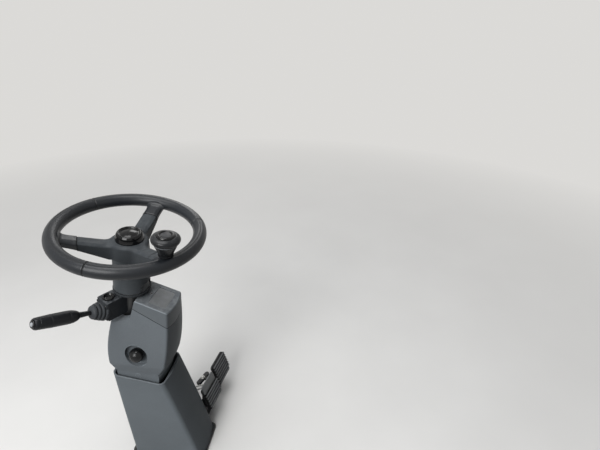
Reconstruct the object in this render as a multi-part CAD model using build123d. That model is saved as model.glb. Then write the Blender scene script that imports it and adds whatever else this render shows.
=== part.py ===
from build123d import *
import os
from math import cos, radians, sin, sqrt, tan

# Steering column of a farm machine, with its two brake pedals.
# Frame: millimetres, X to the machine's right, Y forward, Z up.
# The origin is the centre of the floor bolts on the base plate's underside.

# Fits
FACE_GAP = 0.15          # between pieces of one body that meet on curved faces
RUN_GAP = 0.05           # radial, between a pin or shaft and its bore
MOVE_GAP = 5.0           # between bodies that move past each other

# Wheel and column line
WHEEL_Y = 10.0
WHEEL_Z = 840.0
COLUMN_TILT = 8.3        # degrees, top of the column towards the operator
WHEEL_D = 400.0
RIM_D = 36.0
SPOKE_COUNT = 3
FIRST_SPOKE = 0.5        # degrees from the machine's right towards the front
STUB_LENGTH = 57.0       # from the rim's middle line in to the arms' ends
STUB_STEP = 1.5          # the rim's moulding stands proud of the arms
STUB_REACH = 10.0        # the stub ends this far inside the rim's middle line
STUB_FLARE = 8.0

# Hub and arms, heights above the rim's plane
ARM_WIDTH = 41.0
ARM_ROUND = 28.0         # in plan, between two arms
ARM_DRAFT = 3.0
ARM_EDGE = 5.0           # rounding of the arms' upper edge
ARM_END_TOP = -12.0
ARM_END_DEPTH = 22.0
HUB_R = 58.0
HUB_TOP = -27.0
HUB_BOTTOM = -68.0
HUB_BOSS_R = 46.0
CAP_SEAT_TOP = -23.0
CAP_SEAT_R = 41.0
CAP_R = 37.0
CAP_DEPTH = 6.0          # the cap's foot below its seat
CAP_WALL = 20.0
CAP_BEVEL = 3.0
CAP_RING = 6.0
CAP_RISE = 5.0

# Spinner knob on the rim
SPINNER_ANGLE = 236.0
SPINNER_INSET = 12.0     # its line is this far inside the rim's middle line
SPINNER_FOOT_R = 20.0
SPINNER_WAIST_R = 16.0
SPINNER_WAIST = 13.0
SPINNER_FOOT_TOP = 24.0
SPINNER_NECK_R = 20.0
SPINNER_LIP_R = 33.0
SPINNER_LIP = 57.0
SPINNER_HEAD_R = 37.5
SPINNER_HEAD = 64.0
SPINNER_TOP = 76.0
SPINNER_PIN_R = 5.0
SPINNER_CAP_R = 22.0
SPINNER_CAP_DEPTH = 4.0
SPINNER_CAP_RISE = 2.5

# Collar, sleeve and shaft on the column line, heights above the rim's plane
COLLAR_TOP = -70.0
COLLAR_BOTTOM = -183.5
COLLAR_TOP_R = 47.0
COLLAR_BOTTOM_R = 50.5
COLLAR_WALL = 4.0
SLEEVE_R = 27.0
SLEEVE_TOP = -71.0
SLEEVE_BOTTOM = -395.0
SLEEVE_FIT = -290.0      # above this the head's bore is wider
SHAFT_R = 11.0
SHAFT_END = -150.0
SHAFT_HOLD = 22.0        # length of the shaft inside the hub
RIDGE_R = 43.0
RIDGE_PITCH = 9.0
RIDGE_COUNT = 5
RIDGE_DEPTH = 5.0
WINDOW_WIDTH = 44.0
WINDOW_HEIGHT = 26.0
WINDOW_TURN = -38.0
WINDOW_CORNER = 8.0

# Tilting head
PIVOT_Y = 44.0
PIVOT_Z = 368.0
DRUM_R = 76.0
DRUM_EDGE_R = 66.0
DRUM_HALF = 60.0
HEAD_CORNER = 7.0
HEAD_BULGE = 9.0
TUCK_Z = 382.0
LID_TOP_Z = 645.5        # height of the lid's plane at Y = 0
LID_SLOPE = 20.5
LID_FRONT = (8.0, 648.5)
LID_FOOT = (32.0, 583.0)
LID_EDGE = 4.0
SEAM_Z = 610.0           # height of the lid's lower seam at Y = 0
SEAM_SLOPE = 31.0
SEAM_GAP = 0.6
SHOULDER_SLOPE = 15.0
PANEL_WIDTH = 72.0
PANEL_LENGTH = 50.0
PANEL_Y = -48.0
PANEL_DEPTH = 3.0
PANEL_DROP = 1.0
PANEL_LINE = 0.8
PANEL_CORNER = 4.0
LID_HOLE_R = 2.5
LID_HOLE_AHEAD = 9.0

# Recess and ball knob on the left side
RECESS_Y = 33.0
RECESS_Z = 453.0
RECESS_WIDTH = 70.0
RECESS_HEIGHT = 80.0
RECESS_DEPTH = 24.0
RECESS_ROUND = 10.0
KNOB_R = 22.0
KNOB_STEM_R = 7.0
KNOB_STAND = 20.0        # ball's centre above the recess's floor

# Head's sections: height, half width, rear and front at the middle
HEAD_SECTIONS = (
    (TUCK_Z, 61.0, -38.0, 119.0),
    (412.0, 65.0, -57.0, 134.0),
    (485.0, 61.0, -74.0, 126.0),
    (570.0, 55.0, -86.0, 100.0),
    (660.0, 50.0, -96.0, 66.0),
)
HEAD_SIDE_X = -63.0      # its left side at the recess

# Lower shroud's sections: height, half width, rear and front at the middle
BASE_T = 8.0
SHROUD_WALL = 4.0
SHROUD_BULGE = 10.0
SHROUD_CORNER = 14.0
SHROUD_SECTIONS = (
    (BASE_T, 71.0, -124.0, 122.0),
    (25.0, 71.0, -122.0, 122.0),
    (150.0, 70.0, -94.0, 126.0),
    (380.0, 69.0, -36.0, 130.0),
)
LIP_REAR = (-60.0, 350.0)
LIP_MIDDLE = (50.0, 355.0)
LIP_FRONT = (150.0, 381.0)

# Base plate, post and tilt pin
PLATE_MARGIN = 3.0       # the plate shows this much round the shroud's foot
BOLT_X = 50.0
BOLT_Y = 78.0
BOLT_R = 6.5
POST_WIDTH = 50.0
POST_DEPTH = 56.0
POST_WALL = 5.0
EYE_R = 26.0
TILT_PIN_R = 9.0
TILT_PIN_SET = 2.0       # each end of the pin below the drum's face
TILT_REAR = 12.0

# Switch box and stalk, the box square to the column, its corner and top from the rim's middle
BOX_CORNER = (-79.8, 32.0)
BOX_TURN = -28.0         # degrees, its rear side from the machine's right
BOX_LENGTH = 60.0
BOX_WIDTH = 48.0
BOX_TOP = -195.0
BOX_HEIGHT = 60.0
BOX_EDGE = 4.0
NECK_WIDTH = 34.0
NECK_DROP = 8.0          # the neck's top below the box's
BUTTON_X = 20.0
BUTTON_Y = 24.0
BUTTON_R = 15.0
BUTTON_EDGE = 2.0
BUTTON_RISE = 5.0
STALK_DROP = 34.0        # below the box's top
STALK_UP = 20.0          # degrees from the box's outer face
BELLOWS_STEPS = ((24.0, 9.0), (23.0, 9.0), (21.5, 9.0), (19.5, 10.0))
BELLOWS_FOLD = 4.0
BELLOWS_LAND = 0.6       # share of a step that is a plain ring
STALK_R = 5.0
STALK_BARE = 33.0        # rod that shows between bellows and grip
GRIP_STEPS = ((0.0, 6.0), (11.0, 12.0), (29.0, 17.5), (78.0, 17.0), (105.0, 15.5), (113.0, 15.5), (117.0, 13.0))
END_BUTTON_R = 10.5
END_BUTTON_RISE = 4.0
END_BUTTON_SET = 6.0

# Pedals
PEDAL_Y = -70.0
PEDAL_Z = 34.0
PEDAL_SHAFT_R = 8.0
PEDAL_HUB_R = 13.0
PEDAL_HUB_LENGTH = 60.0
PEDAL_EAR_T = 8.0
PEDAL_EAR_R = 15.0
PEDAL_FIRST_X = 124.0
PAD_WIDTH = 90.0
PAD_GAP = 18.0           # between the two pads
PAD_HEIGHT = 88.0
SHORT_PAD = 60.0         # the left pad stops below the latch
PAD_T = 12.0
PAD_PLATE_T = 4.0
PAD_CORNER = 26.0
PAD_TOP_CORNER = 8.0
PAD_BOTTOM_Y = -108.0
PAD_BOTTOM_Z = 74.0
PAD_ANGLE = 75.0
PAD_TURN = 8.0           # degrees, the pads' right ends nearer to the operator
RIB_COUNT = 7
RIB_WIDTH = 6.5
RIB_RISE = 3.0
ARM_T = 5.0
ARM_SPACING = 20.0
ARM_DEPTH = 22.0         # the levers' arms stand this far behind the back plate

# Latch that joins the two pedals for the road, on the left pedal
LATCH_T = 5.0
LATCH_TOP = 98.0         # up the pad
LATCH_BAR = 54.0
LATCH_BAR_T = 12.0
LATCH_BAR_X = 18.0       # its middle, from the pad's
LATCH_BAR_UP = 83.0
LATCH_BAR_BACK = 24.0    # behind the back plate
LATCH_BAR_TURN = 15.0    # degrees from the plate
LATCH_PIN_R = 6.0
LATCH_PIN_RISE = 5.0

FAR = 2.0 * WHEEL_Z      # longer than any piece, for cutting

RIM_R = RIM_D / 2
RIM_CENTRE_R = WHEEL_D / 2 - RIM_R
ARM_END_R = RIM_CENTRE_R - STUB_LENGTH
SPINNER_R = RIM_CENTRE_R - SPINNER_INSET
PEDAL_PITCH = PAD_WIDTH + PAD_GAP
RECESS_FLOOR_X = HEAD_SIDE_X + RECESS_DEPTH
COLUMN = Plane(
    origin=(0, WHEEL_Y, WHEEL_Z),
    x_dir=(1, 0, 0),
    z_dir=(0, -sin(radians(COLUMN_TILT)), cos(radians(COLUMN_TILT))),
)


def save(name, shape):
    """Writes one named piece."""
    export_step(shape, f"parts/{name}.step")


def turned(profile, plane):
    """A turned piece from (radius, height) corners, on a plane's own normal."""
    face = make_face(Plane.XZ * Polyline(*profile, close=True))
    return plane * revolve(face, Axis.Z)


def disc(plane, radius, low, high):
    """A round bar from low to high along a plane's normal."""
    bar = Cylinder(radius, high - low, align=(Align.CENTER, Align.CENTER, Align.MIN))
    return plane * Pos(0, 0, low) * bar


def across(y, z, radius, x_low, x_high):
    """A round bar along X."""
    line = Plane(origin=(0, y, z), x_dir=(0, 1, 0), z_dir=(1, 0, 0))
    return disc(line, radius, x_low, x_high)


def side_plate(points, x_low, x_high):
    """A plate with its outline in the side view, as (Y, Z) corners."""
    face = make_face(Plane.YZ * Polyline(*points, close=True))
    return Pos(x_low, 0, 0) * extrude(face, x_high - x_low, dir=(1, 0, 0))


def dome_arc(radius, low, rise):
    """Half of a domed top, from its edge to its middle, drawn square to the axis."""
    sphere_r = (radius ** 2 + rise ** 2) / (2 * rise)
    half = radius / 2
    middle = low + rise - sphere_r + sqrt(sphere_r ** 2 - half ** 2)
    return ThreePointArc((radius, low), (half, middle), (0, low + rise))


def block(x, y, z):
    """A box from pairs of limits."""
    size = Box(x[1] - x[0], y[1] - y[0], z[1] - z[0], align=(Align.MIN,) * 3)
    return Pos(x[0], y[0], z[0]) * size


def below_slope(z_at_zero, slope):
    """Everything under a plane that rises by slope degrees towards +Y."""
    plane = Plane(origin=(0, 0, z_at_zero), x_dir=(1, 0, 0),
                  z_dir=(0, -sin(radians(slope)), cos(radians(slope))))
    return plane * Pos(0, 0, -FAR / 2) * Box(FAR, FAR, FAR)


def plan_section(z, half, rear, front, bulge, corner):
    """A level section: straight sides, bowed front and rear, round corners."""
    side_rear, side_front = rear + bulge, front - bulge
    outline = (
        Line((-half, side_rear), (-half, side_front))
        + ThreePointArc((-half, side_front), (0, front), (half, side_front))
        + Line((half, side_front), (half, side_rear))
        + ThreePointArc((half, side_rear), (0, rear), (-half, side_rear))
    )
    face = make_face(outline)
    return Pos(0, 0, z) * fillet(face.vertices(), corner)


def body_loft(sections, bulge, corner, inset=0.0, ruled=False):
    """A body through level sections, drawn in by inset on all sides."""
    faces = [
        plan_section(z, half - inset, rear + inset, front - inset, bulge, corner - inset)
        for z, half, rear, front in sections
    ]
    return loft(Sketch() + faces, ruled=ruled)


def barrel(edge_r, middle_r, half):
    """A barrel about the tilt pin's line: bowed from edge_r to middle_r."""
    outline = (
        Line((-half, 0), (-half, edge_r))
        + ThreePointArc((-half, edge_r), (0, middle_r), (half, edge_r))
        + Line((half, edge_r), (half, 0))
        + Line((half, 0), (-half, 0))
    )
    face = make_face(Plane.XZ * outline)
    return Pos(0, PIVOT_Y, PIVOT_Z) * revolve(face, Axis.X)


# Steering wheel

def spoke_angles():
    """The angle of each spoke."""
    return [FIRST_SPOKE + 360.0 / SPOKE_COUNT * i for i in range(SPOKE_COUNT)]


def stub_section(radius, width, low, high):
    """One section across a stub, square to its length."""
    plane = Plane(origin=(radius, 0, 0), x_dir=(0, 1, 0), z_dir=(1, 0, 0))
    return plane * Pos(0, (low + high) / 2) * RectangleRounded(width, high - low, ARM_EDGE)


def wheel_rim():
    """Round rim with a short moulded stub on each spoke."""
    width = ARM_WIDTH + 2 * STUB_STEP
    joint = stub_section(ARM_END_R, width, ARM_END_TOP - ARM_END_DEPTH - STUB_STEP, ARM_END_TOP + STUB_STEP)
    end = stub_section(RIM_CENTRE_R - STUB_REACH, width + STUB_FLARE, -RIM_R * 0.7, 0)
    stub = loft(Sketch() + [joint, end])
    rim = Torus(RIM_CENTRE_R, RIM_R)
    for angle in spoke_angles():
        rim += Rot(0, 0, angle) * stub
    return COLUMN * rim


def arms_outline():
    """Plan of the three arms, a little too long, with round corners between them."""
    plan = Sketch()
    for angle in spoke_angles():
        plan += Rot(0, 0, angle) * Rectangle(ARM_END_R + ARM_WIDTH, ARM_WIDTH, align=(Align.MIN, Align.CENTER))
    between = plan.vertices().sort_by_distance((0, 0, 0))[:SPOKE_COUNT]
    return fillet(between, ARM_ROUND)


def dish():
    """Turned form that gives the hub its dished top and its boss."""
    rise = (ARM_END_TOP - HUB_TOP) / (ARM_END_R - HUB_R)
    drop = (ARM_END_TOP - ARM_END_DEPTH - HUB_BOTTOM) / (ARM_END_R - HUB_R)
    reach = 2 * STUB_LENGTH
    profile = (
        (0, CAP_SEAT_TOP), (CAP_SEAT_R, CAP_SEAT_TOP), (HUB_R, HUB_TOP),
        (ARM_END_R + reach, ARM_END_TOP + rise * reach),
        (ARM_END_R + reach, ARM_END_TOP - ARM_END_DEPTH + drop * reach),
        (HUB_R, HUB_BOTTOM), (0, HUB_BOTTOM),
    )
    return turned(profile, Plane.XY)


def upper_edges(hub):
    """Edges of the hub's top, apart from the arms' ends and the dish's own rings."""
    found = []
    for face in hub.faces():
        if face.normal_at().Z < 0.5:
            continue
        for edge in face.edges():
            radii = [edge.position_at(t).X ** 2 + edge.position_at(t).Y ** 2 for t in (0, 0.5, 1)]
            a_ring = max(radii) - min(radii) < 0.01
            at_end = min(radii) > (ARM_END_R - 1) ** 2
            if not a_ring and not at_end:
                found.append(edge)
    return found


def wheel_hub():
    """Hub and its three arms, with the seat for the cap and the shaft's bore."""
    depth = HUB_TOP - HUB_BOTTOM
    low = HUB_BOTTOM - 1
    walls = Pos(0, 0, low) * extrude(arms_outline(), 2 * depth, dir=(0, 0, 1), taper=ARM_DRAFT)
    hub = walls & dish()
    for angle in spoke_angles():
        beyond = Box(ARM_WIDTH * 2, ARM_WIDTH * 2, FAR, align=(Align.MIN, Align.CENTER, Align.CENTER))
        hub -= Rot(0, 0, angle) * Pos(ARM_END_R, 0, 0) * beyond
    hub = fillet(upper_edges(hub), ARM_EDGE)
    hub += disc(Plane.XY, HUB_BOSS_R, HUB_BOTTOM, HUB_TOP - ARM_EDGE)
    hub -= disc(Plane.XY, CAP_R + FACE_GAP, CAP_SEAT_TOP - CAP_DEPTH, 0)
    hub -= disc(Plane.XY, SHAFT_R, low, HUB_BOTTOM + SHAFT_HOLD)
    return COLUMN * hub


def hub_cap():
    """Glossy cap: a bevelled ring that stands round a low dome."""
    low = CAP_SEAT_TOP - CAP_DEPTH
    wall_top = CAP_SEAT_TOP + CAP_WALL
    ring_top = wall_top + CAP_BEVEL
    dome_r = CAP_R - CAP_RING
    profile = (
        Line((0, low), (CAP_R, low))
        + Line((CAP_R, low), (CAP_R, wall_top))
        + Line((CAP_R, wall_top), (CAP_R - CAP_BEVEL, ring_top))
        + Line((CAP_R - CAP_BEVEL, ring_top), (dome_r, wall_top))
        + dome_arc(dome_r, wall_top, CAP_RISE)
        + Line((0, wall_top + CAP_RISE), (0, low))
    )
    return COLUMN * revolve(make_face(Plane.XZ * profile), Axis.Z)


def steering_shaft():
    """Shaft from the hub down into the sleeve's top bearing."""
    return disc(COLUMN, SHAFT_R, SHAFT_END, HUB_BOTTOM + SHAFT_HOLD)


def spinner_plane():
    """The spinner knob's own line, square to the rim's plane."""
    a = radians(SPINNER_ANGLE)
    return COLUMN * Plane(origin=(SPINNER_R * cos(a), SPINNER_R * sin(a), 0))


def pin_top():
    """Height of the spinner pin's end."""
    return SPINNER_TOP - 5 * SPINNER_PIN_R


def spinner_clamp():
    """Foot that grips the rim and carries the knob's pin."""
    plane = spinner_plane()
    top = SPINNER_FOOT_TOP - 2
    foot = turned(((0, 0), (SPINNER_FOOT_R, 0), (SPINNER_WAIST_R, SPINNER_WAIST),
                   (SPINNER_NECK_R - 1, top), (0, top)), plane)
    pin = disc(plane, SPINNER_PIN_R, top - 1, pin_top() - RUN_GAP)
    rim = COLUMN * Torus(RIM_CENTRE_R, RIM_R + FACE_GAP)
    return foot + pin - rim


def spinner_grip():
    """Mushroom grip that turns on the pin: a cone, a lip and a round head."""
    plane = spinner_plane()
    low, head, cap_r = SPINNER_FOOT_TOP, SPINNER_HEAD_R, SPINNER_CAP_R
    crown = SPINNER_TOP - 1
    cone_r = SPINNER_LIP_R - 3
    floor = crown - SPINNER_CAP_DEPTH
    profile = (
        Line((0, low), (SPINNER_NECK_R, low))
        + Line((SPINNER_NECK_R, low), (cone_r, SPINNER_LIP - 2))
        + Line((cone_r, SPINNER_LIP - 2), (SPINNER_LIP_R, SPINNER_LIP - 1))
        + Line((SPINNER_LIP_R, SPINNER_LIP - 1), (SPINNER_LIP_R, SPINNER_LIP))
        + ThreePointArc((SPINNER_LIP_R, SPINNER_LIP), (head, SPINNER_HEAD), ((head + cap_r) / 2, crown - 3))
        + Line(((head + cap_r) / 2, crown - 3), (cap_r, crown))
        + Line((cap_r, crown), (cap_r, floor))
        + Line((cap_r, floor), (0, floor))
        + Line((0, floor), (0, low))
    )
    grip = plane * revolve(make_face(Plane.XZ * profile), Axis.Z)
    return grip - disc(plane, SPINNER_PIN_R + RUN_GAP, low - 1, pin_top() + RUN_GAP)


def spinner_cap():
    """Glossy disc let into the knob's top."""
    radius = SPINNER_CAP_R - FACE_GAP
    low = SPINNER_TOP - 1 - SPINNER_CAP_DEPTH
    edge = SPINNER_TOP - 1 - SPINNER_CAP_RISE
    top = edge + SPINNER_CAP_RISE
    profile = ((0, low), (radius, low), (radius, edge), (radius - SPINNER_CAP_RISE, top), (0, top))
    return turned(profile, spinner_plane())


# Column head that slides with the wheel

def column_sleeve():
    """Tube that slides in the head and holds the wheel's shaft."""
    tube = disc(COLUMN, SLEEVE_R, SLEEVE_BOTTOM, SLEEVE_TOP)
    return tube - disc(COLUMN, SHAFT_R + RUN_GAP, SHAFT_END - 2, 0)


def collar():
    """Tapered cover under the hub, with a window towards the operator."""
    bore = SLEEVE_R + FACE_GAP
    outer = ((COLLAR_BOTTOM_R - COLLAR_WALL, COLLAR_BOTTOM), (COLLAR_BOTTOM_R, COLLAR_BOTTOM),
             (COLLAR_TOP_R, COLLAR_TOP), (bore, COLLAR_TOP), (bore, COLLAR_TOP - COLLAR_WALL),
             (COLLAR_TOP_R - COLLAR_WALL, COLLAR_TOP - COLLAR_WALL))
    shell = turned(outer, COLUMN)
    window = Box(WINDOW_WIDTH, COLLAR_BOTTOM_R, 2 * WINDOW_HEIGHT, align=(Align.CENTER, Align.MAX, Align.CENTER))
    window = fillet(window.edges().filter_by(Axis.Y), WINDOW_CORNER)
    low = Pos(0, -SLEEVE_R, COLLAR_BOTTOM - WINDOW_CORNER)
    return shell - COLUMN * Rot(0, 0, WINDOW_TURN) * low * window


def ridged_boot():
    """Rubber boot round the sleeve, with the ridges that show in the window."""
    bore = SLEEVE_R + FACE_GAP
    low = COLLAR_BOTTOM + 2
    profile = [(bore, low)]
    for i in range(RIDGE_COUNT):
        z = low + i * RIDGE_PITCH
        profile.append((RIDGE_R, z + RIDGE_PITCH / 3))
        profile.append((RIDGE_R - RIDGE_DEPTH, z + RIDGE_PITCH))
    profile.append((bore, low + RIDGE_COUNT * RIDGE_PITCH))
    return turned(profile, COLUMN)


# Switch box and stalk

def box_plane():
    """Top plane of the switch box, X along its rear side, at its rear outer corner."""
    return COLUMN * Pos(*BOX_CORNER, BOX_TOP) * Rot(0, 0, BOX_TURN)


def switch_box():
    """Box that carries the stalk, with the neck that holds it to the sleeve."""
    box = Box(BOX_LENGTH, BOX_WIDTH, BOX_HEIGHT, align=(Align.MIN, Align.MIN, Align.MAX))
    box = fillet(box.edges().group_by(Axis.X)[0], BOX_EDGE)
    box = fillet(box.edges().group_by(Axis.Z)[-1].filter_by(Axis.X), BOX_EDGE / 2)
    neck = Box(BOX_LENGTH + SLEEVE_R, NECK_WIDTH, BOX_HEIGHT - 2 * NECK_DROP,
               align=(Align.MIN, Align.MIN, Align.MAX))
    box += Pos(BOX_EDGE, BOX_EDGE, -NECK_DROP) * neck
    return box_plane() * box - disc(COLUMN, SLEEVE_R + FACE_GAP, SLEEVE_BOTTOM, COLLAR_BOTTOM)


def box_button():
    """Round push button on the box's top, with a soft edge."""
    button = disc(Plane.XY * Pos(BUTTON_X, BUTTON_Y, 0), BUTTON_R, 0, BUTTON_RISE)
    return box_plane() * fillet(button.edges().group_by(Axis.Z)[-1], BUTTON_EDGE)


def stalk_plane():
    """Line of the stalk: out of the middle of the box's outer face, rising."""
    return box_plane() * Pos(0, BOX_WIDTH / 2, -STALK_DROP) * Rot(0, STALK_UP - 90, 0)


def outside_box():
    """Space on the stalk's side of the box's outer face."""
    return box_plane() * Box(FAR, FAR, FAR, align=(Align.MAX, Align.CENTER, Align.CENTER))


def stalk_bellows():
    """Stepped rubber bellows between the box and the stalk."""
    sunk = -BELLOWS_STEPS[0][0]
    profile = [(STALK_R + FACE_GAP, sunk), (BELLOWS_STEPS[0][0], sunk)]
    height = 0.0
    for radius, length in BELLOWS_STEPS:
        profile.append((radius, height))
        profile.append((radius, height + length * BELLOWS_LAND))
        profile.append((radius - BELLOWS_FOLD, height + length))
        height += length
    profile.append((STALK_R + FACE_GAP, height))
    return turned(profile, stalk_plane()) & outside_box()


def stalk_start():
    """Where the grip begins, along the stalk."""
    return sum(length for _, length in BELLOWS_STEPS) + STALK_BARE


def stalk_rod():
    """Bare rod between the bellows and the grip."""
    return disc(stalk_plane(), STALK_R, -STALK_R, stalk_start()) & outside_box()


def stalk_grip():
    """Thick turned grip of the stalk."""
    start = stalk_start()
    end = start + GRIP_STEPS[-1][0]
    well_r, well = END_BUTTON_R + FACE_GAP, end - END_BUTTON_SET
    profile = [(0, start)]
    profile += [(radius, start + along) for along, radius in GRIP_STEPS]
    profile += [(well_r, end), (well_r, well), (0, well)]
    return turned(profile, stalk_plane())


def stalk_button():
    """Push button in the end of the grip."""
    end = stalk_start() + GRIP_STEPS[-1][0]
    return disc(stalk_plane(), END_BUTTON_R, end - END_BUTTON_SET, end + END_BUTTON_RISE)


# Tilting head

def head_form():
    """Whole outside of the tilting head, with the drum that it turns on."""
    tuck = body_loft(HEAD_SECTIONS[:2], HEAD_BULGE, HEAD_CORNER, ruled=True)
    upper = body_loft(HEAD_SECTIONS[1:], HEAD_BULGE, HEAD_CORNER)
    top = side_plate(head_outline(), -FAR, FAR)
    form = (tuck + upper) & top
    lid_edges = form.faces().sort_by(Axis.Z)[-1].edges()
    return fillet(lid_edges, LID_EDGE) + barrel(DRUM_EDGE_R, DRUM_R, DRUM_HALF)


def head_outline():
    """Side view of the head's top: the lid's slope, its slanted front and the shoulder."""
    lid_fall = tan(radians(LID_SLOPE))
    shoulder_fall = tan(radians(SHOULDER_SLOPE))
    foot_y, foot_z = LID_FOOT
    low = PIVOT_Z
    return (
        (-WHEEL_D, low), (-WHEEL_D, LID_TOP_Z - WHEEL_D * lid_fall),
        (LID_FRONT[0], LID_TOP_Z + LID_FRONT[0] * lid_fall), (foot_y, foot_z),
        (WHEEL_D, foot_z - (WHEEL_D - foot_y) * shoulder_fall), (WHEEL_D, low),
    )


def post_room():
    """Room inside the drum for the post's eye, over the whole tilt."""
    sweep = tan(radians(TILT_REAR)) * DRUM_R
    half = POST_DEPTH / 2 + sweep + MOVE_GAP
    width = POST_WIDTH / 2 + MOVE_GAP / 2
    room = across(PIVOT_Y, PIVOT_Z, EYE_R + MOVE_GAP, -width, width)
    return room + block((-width, width), (PIVOT_Y - half, PIVOT_Y + half),
                        (PIVOT_Z - DRUM_R - MOVE_GAP, PIVOT_Z))


def recess():
    """Oval hollow in the left side for the ball knob."""
    outer = Plane(origin=(RECESS_FLOOR_X - 2 * RECESS_DEPTH, RECESS_Y, RECESS_Z), x_dir=(0, 1, 0), z_dir=(1, 0, 0))
    mouth = outer * Ellipse(RECESS_WIDTH / 2, RECESS_HEIGHT / 2)
    hollow = extrude(mouth, 2 * RECESS_DEPTH, dir=(1, 0, 0))
    return fillet(hollow.edges().group_by(Axis.X)[-1], RECESS_ROUND)


def tilting_head(form):
    """Head below the lid, with the sleeve's bore, the post's room and the recess."""
    head = form & below_slope(SEAM_Z - SEAM_GAP, SEAM_SLOPE)
    head -= disc(COLUMN, SLEEVE_R + RUN_GAP, SLEEVE_BOTTOM - MOVE_GAP, 0)
    head -= disc(COLUMN, SLEEVE_R + MOVE_GAP, SLEEVE_FIT, 0)
    head -= post_room()
    head -= across(PIVOT_Y, PIVOT_Z, TILT_PIN_R + RUN_GAP, -DRUM_HALF - 1, DRUM_HALF + 1)
    return head - recess()


def lid(form):
    """Sloping lid behind the wheel, with the seat of its panel and a screw hole."""
    cover = form - below_slope(SEAM_Z, SEAM_SLOPE)
    cover -= disc(COLUMN, SLEEVE_R + MOVE_GAP, SLEEVE_FIT, 0)
    cover -= panel_form(PANEL_LINE)
    hole = disc(lid_plane(), LID_HOLE_R, -2 * LID_HOLE_R, FAR)
    return cover - Pos(0, PANEL_LENGTH / 2 + LID_HOLE_AHEAD, 0) * hole


def lid_plane():
    """Plane of the lid's top at the panel's middle."""
    slope = radians(LID_SLOPE)
    z = LID_TOP_Z + PANEL_Y * tan(slope)
    return Plane(origin=(0, PANEL_Y, z), x_dir=(1, 0, 0), z_dir=(0, -sin(slope), cos(slope)))


def panel_form(margin):
    """The panel set into the lid, grown by a margin at its edges."""
    panel = Box(PANEL_WIDTH + 2 * margin, PANEL_LENGTH + 2 * margin, 2 * PANEL_DEPTH,
                align=(Align.CENTER, Align.CENTER, Align.MIN))
    panel = fillet(panel.edges().filter_by(Axis.Z), PANEL_CORNER)
    return lid_plane() * Pos(0, 0, -PANEL_DEPTH) * panel


def lid_panel():
    """Flat panel a little below the lid's surface."""
    return panel_form(0) & below_slope(LID_TOP_Z - PANEL_DROP, LID_SLOPE)


def tilt_knob():
    """Ball knob on its stem in the recess."""
    centre = RECESS_FLOOR_X - KNOB_STAND
    ball = Pos(centre, RECESS_Y, RECESS_Z) * Sphere(KNOB_R)
    stem = across(RECESS_Y, RECESS_Z, KNOB_STEM_R, centre, RECESS_FLOOR_X)
    clear_of_floor = block((-FAR, RECESS_FLOOR_X - 1.5), (-FAR, FAR), (0, FAR))
    return (ball & clear_of_floor) + stem


# Foot of the column

def mouth_cut():
    """Space under the shroud's upper edge, which rises towards the front."""
    far_y, low = WHEEL_D, -BASE_T
    outline = (
        Line((-far_y, low), (-far_y, LIP_REAR[1]))
        + Line((-far_y, LIP_REAR[1]), LIP_REAR)
        + ThreePointArc(LIP_REAR, LIP_MIDDLE, LIP_FRONT)
        + Line(LIP_FRONT, (LIP_FRONT[0], low))
        + Line((LIP_FRONT[0], low), (-far_y, low))
    )
    face = make_face(Plane.YZ * outline)
    return Pos(-far_y, 0, 0) * extrude(face, 2 * far_y, dir=(1, 0, 0))


def lower_shroud():
    """Hollow shroud from the base plate to the drum, with a wider foot."""
    outer = body_loft(SHROUD_SECTIONS[1:], SHROUD_BULGE, SHROUD_CORNER)
    outer += body_loft(SHROUD_SECTIONS[:2], SHROUD_BULGE, SHROUD_CORNER, ruled=True)
    inner = body_loft(SHROUD_SECTIONS[1:], SHROUD_BULGE, SHROUD_CORNER, inset=SHROUD_WALL)
    inner += body_loft(SHROUD_SECTIONS[:2], SHROUD_BULGE, SHROUD_CORNER, inset=SHROUD_WALL, ruled=True)
    shell = (outer - inner) & mouth_cut()
    return shell - barrel(DRUM_EDGE_R + MOVE_GAP, DRUM_R + MOVE_GAP, DRUM_HALF + MOVE_GAP)


def base_plate():
    """Floor plate under the column, with an arm that carries the pedals."""
    _, half, rear, front = SHROUD_SECTIONS[0]
    margin = PLATE_MARGIN
    plate = block((-half - margin, half + margin), (rear - margin, front + margin), (0, BASE_T))
    plate = fillet(plate.edges().filter_by(Axis.Z), SHROUD_CORNER)
    last_x = ear_positions()[-1] + PEDAL_EAR_T
    plate += block((0, last_x), (PEDAL_Y - PEDAL_EAR_R, PEDAL_Y + PEDAL_EAR_R), (0, BASE_T))
    for x in (-BOLT_X, BOLT_X):
        for y in (-BOLT_Y, BOLT_Y):
            plate -= disc(Plane.XY * Pos(x, y, 0), BOLT_R, -1, BASE_T + 1)
    return plate


def post():
    """Square post from the base plate to the tilt pin's eye."""
    half_y = POST_DEPTH / 2
    eye_foot = PIVOT_Z - EYE_R
    x = (-POST_WIDTH / 2, POST_WIDTH / 2)
    tube = block(x, (PIVOT_Y - half_y, PIVOT_Y + half_y), (BASE_T, eye_foot))
    inside = (x[0] + POST_WALL, x[1] - POST_WALL)
    tube -= block(inside, (PIVOT_Y - half_y + POST_WALL, PIVOT_Y + half_y - POST_WALL),
                  (BASE_T, eye_foot - POST_WALL))
    eye = across(PIVOT_Y, PIVOT_Z, EYE_R, *x)
    eye += block(x, (PIVOT_Y - EYE_R, PIVOT_Y + EYE_R), (eye_foot - 2, PIVOT_Z))
    return tube + eye - across(PIVOT_Y, PIVOT_Z, TILT_PIN_R + RUN_GAP, 2 * x[0], 2 * x[1])


def tilt_pin():
    """Pin through the post's eye and the drum."""
    half = DRUM_HALF - TILT_PIN_SET
    return across(PIVOT_Y, PIVOT_Z, TILT_PIN_R, -half, half)


# Pedals

def pedal_places():
    """Name, middle on X and pad height of each pedal."""
    return (("left", PEDAL_FIRST_X, SHORT_PAD), ("right", PEDAL_FIRST_X + PEDAL_PITCH, PAD_HEIGHT))


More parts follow.
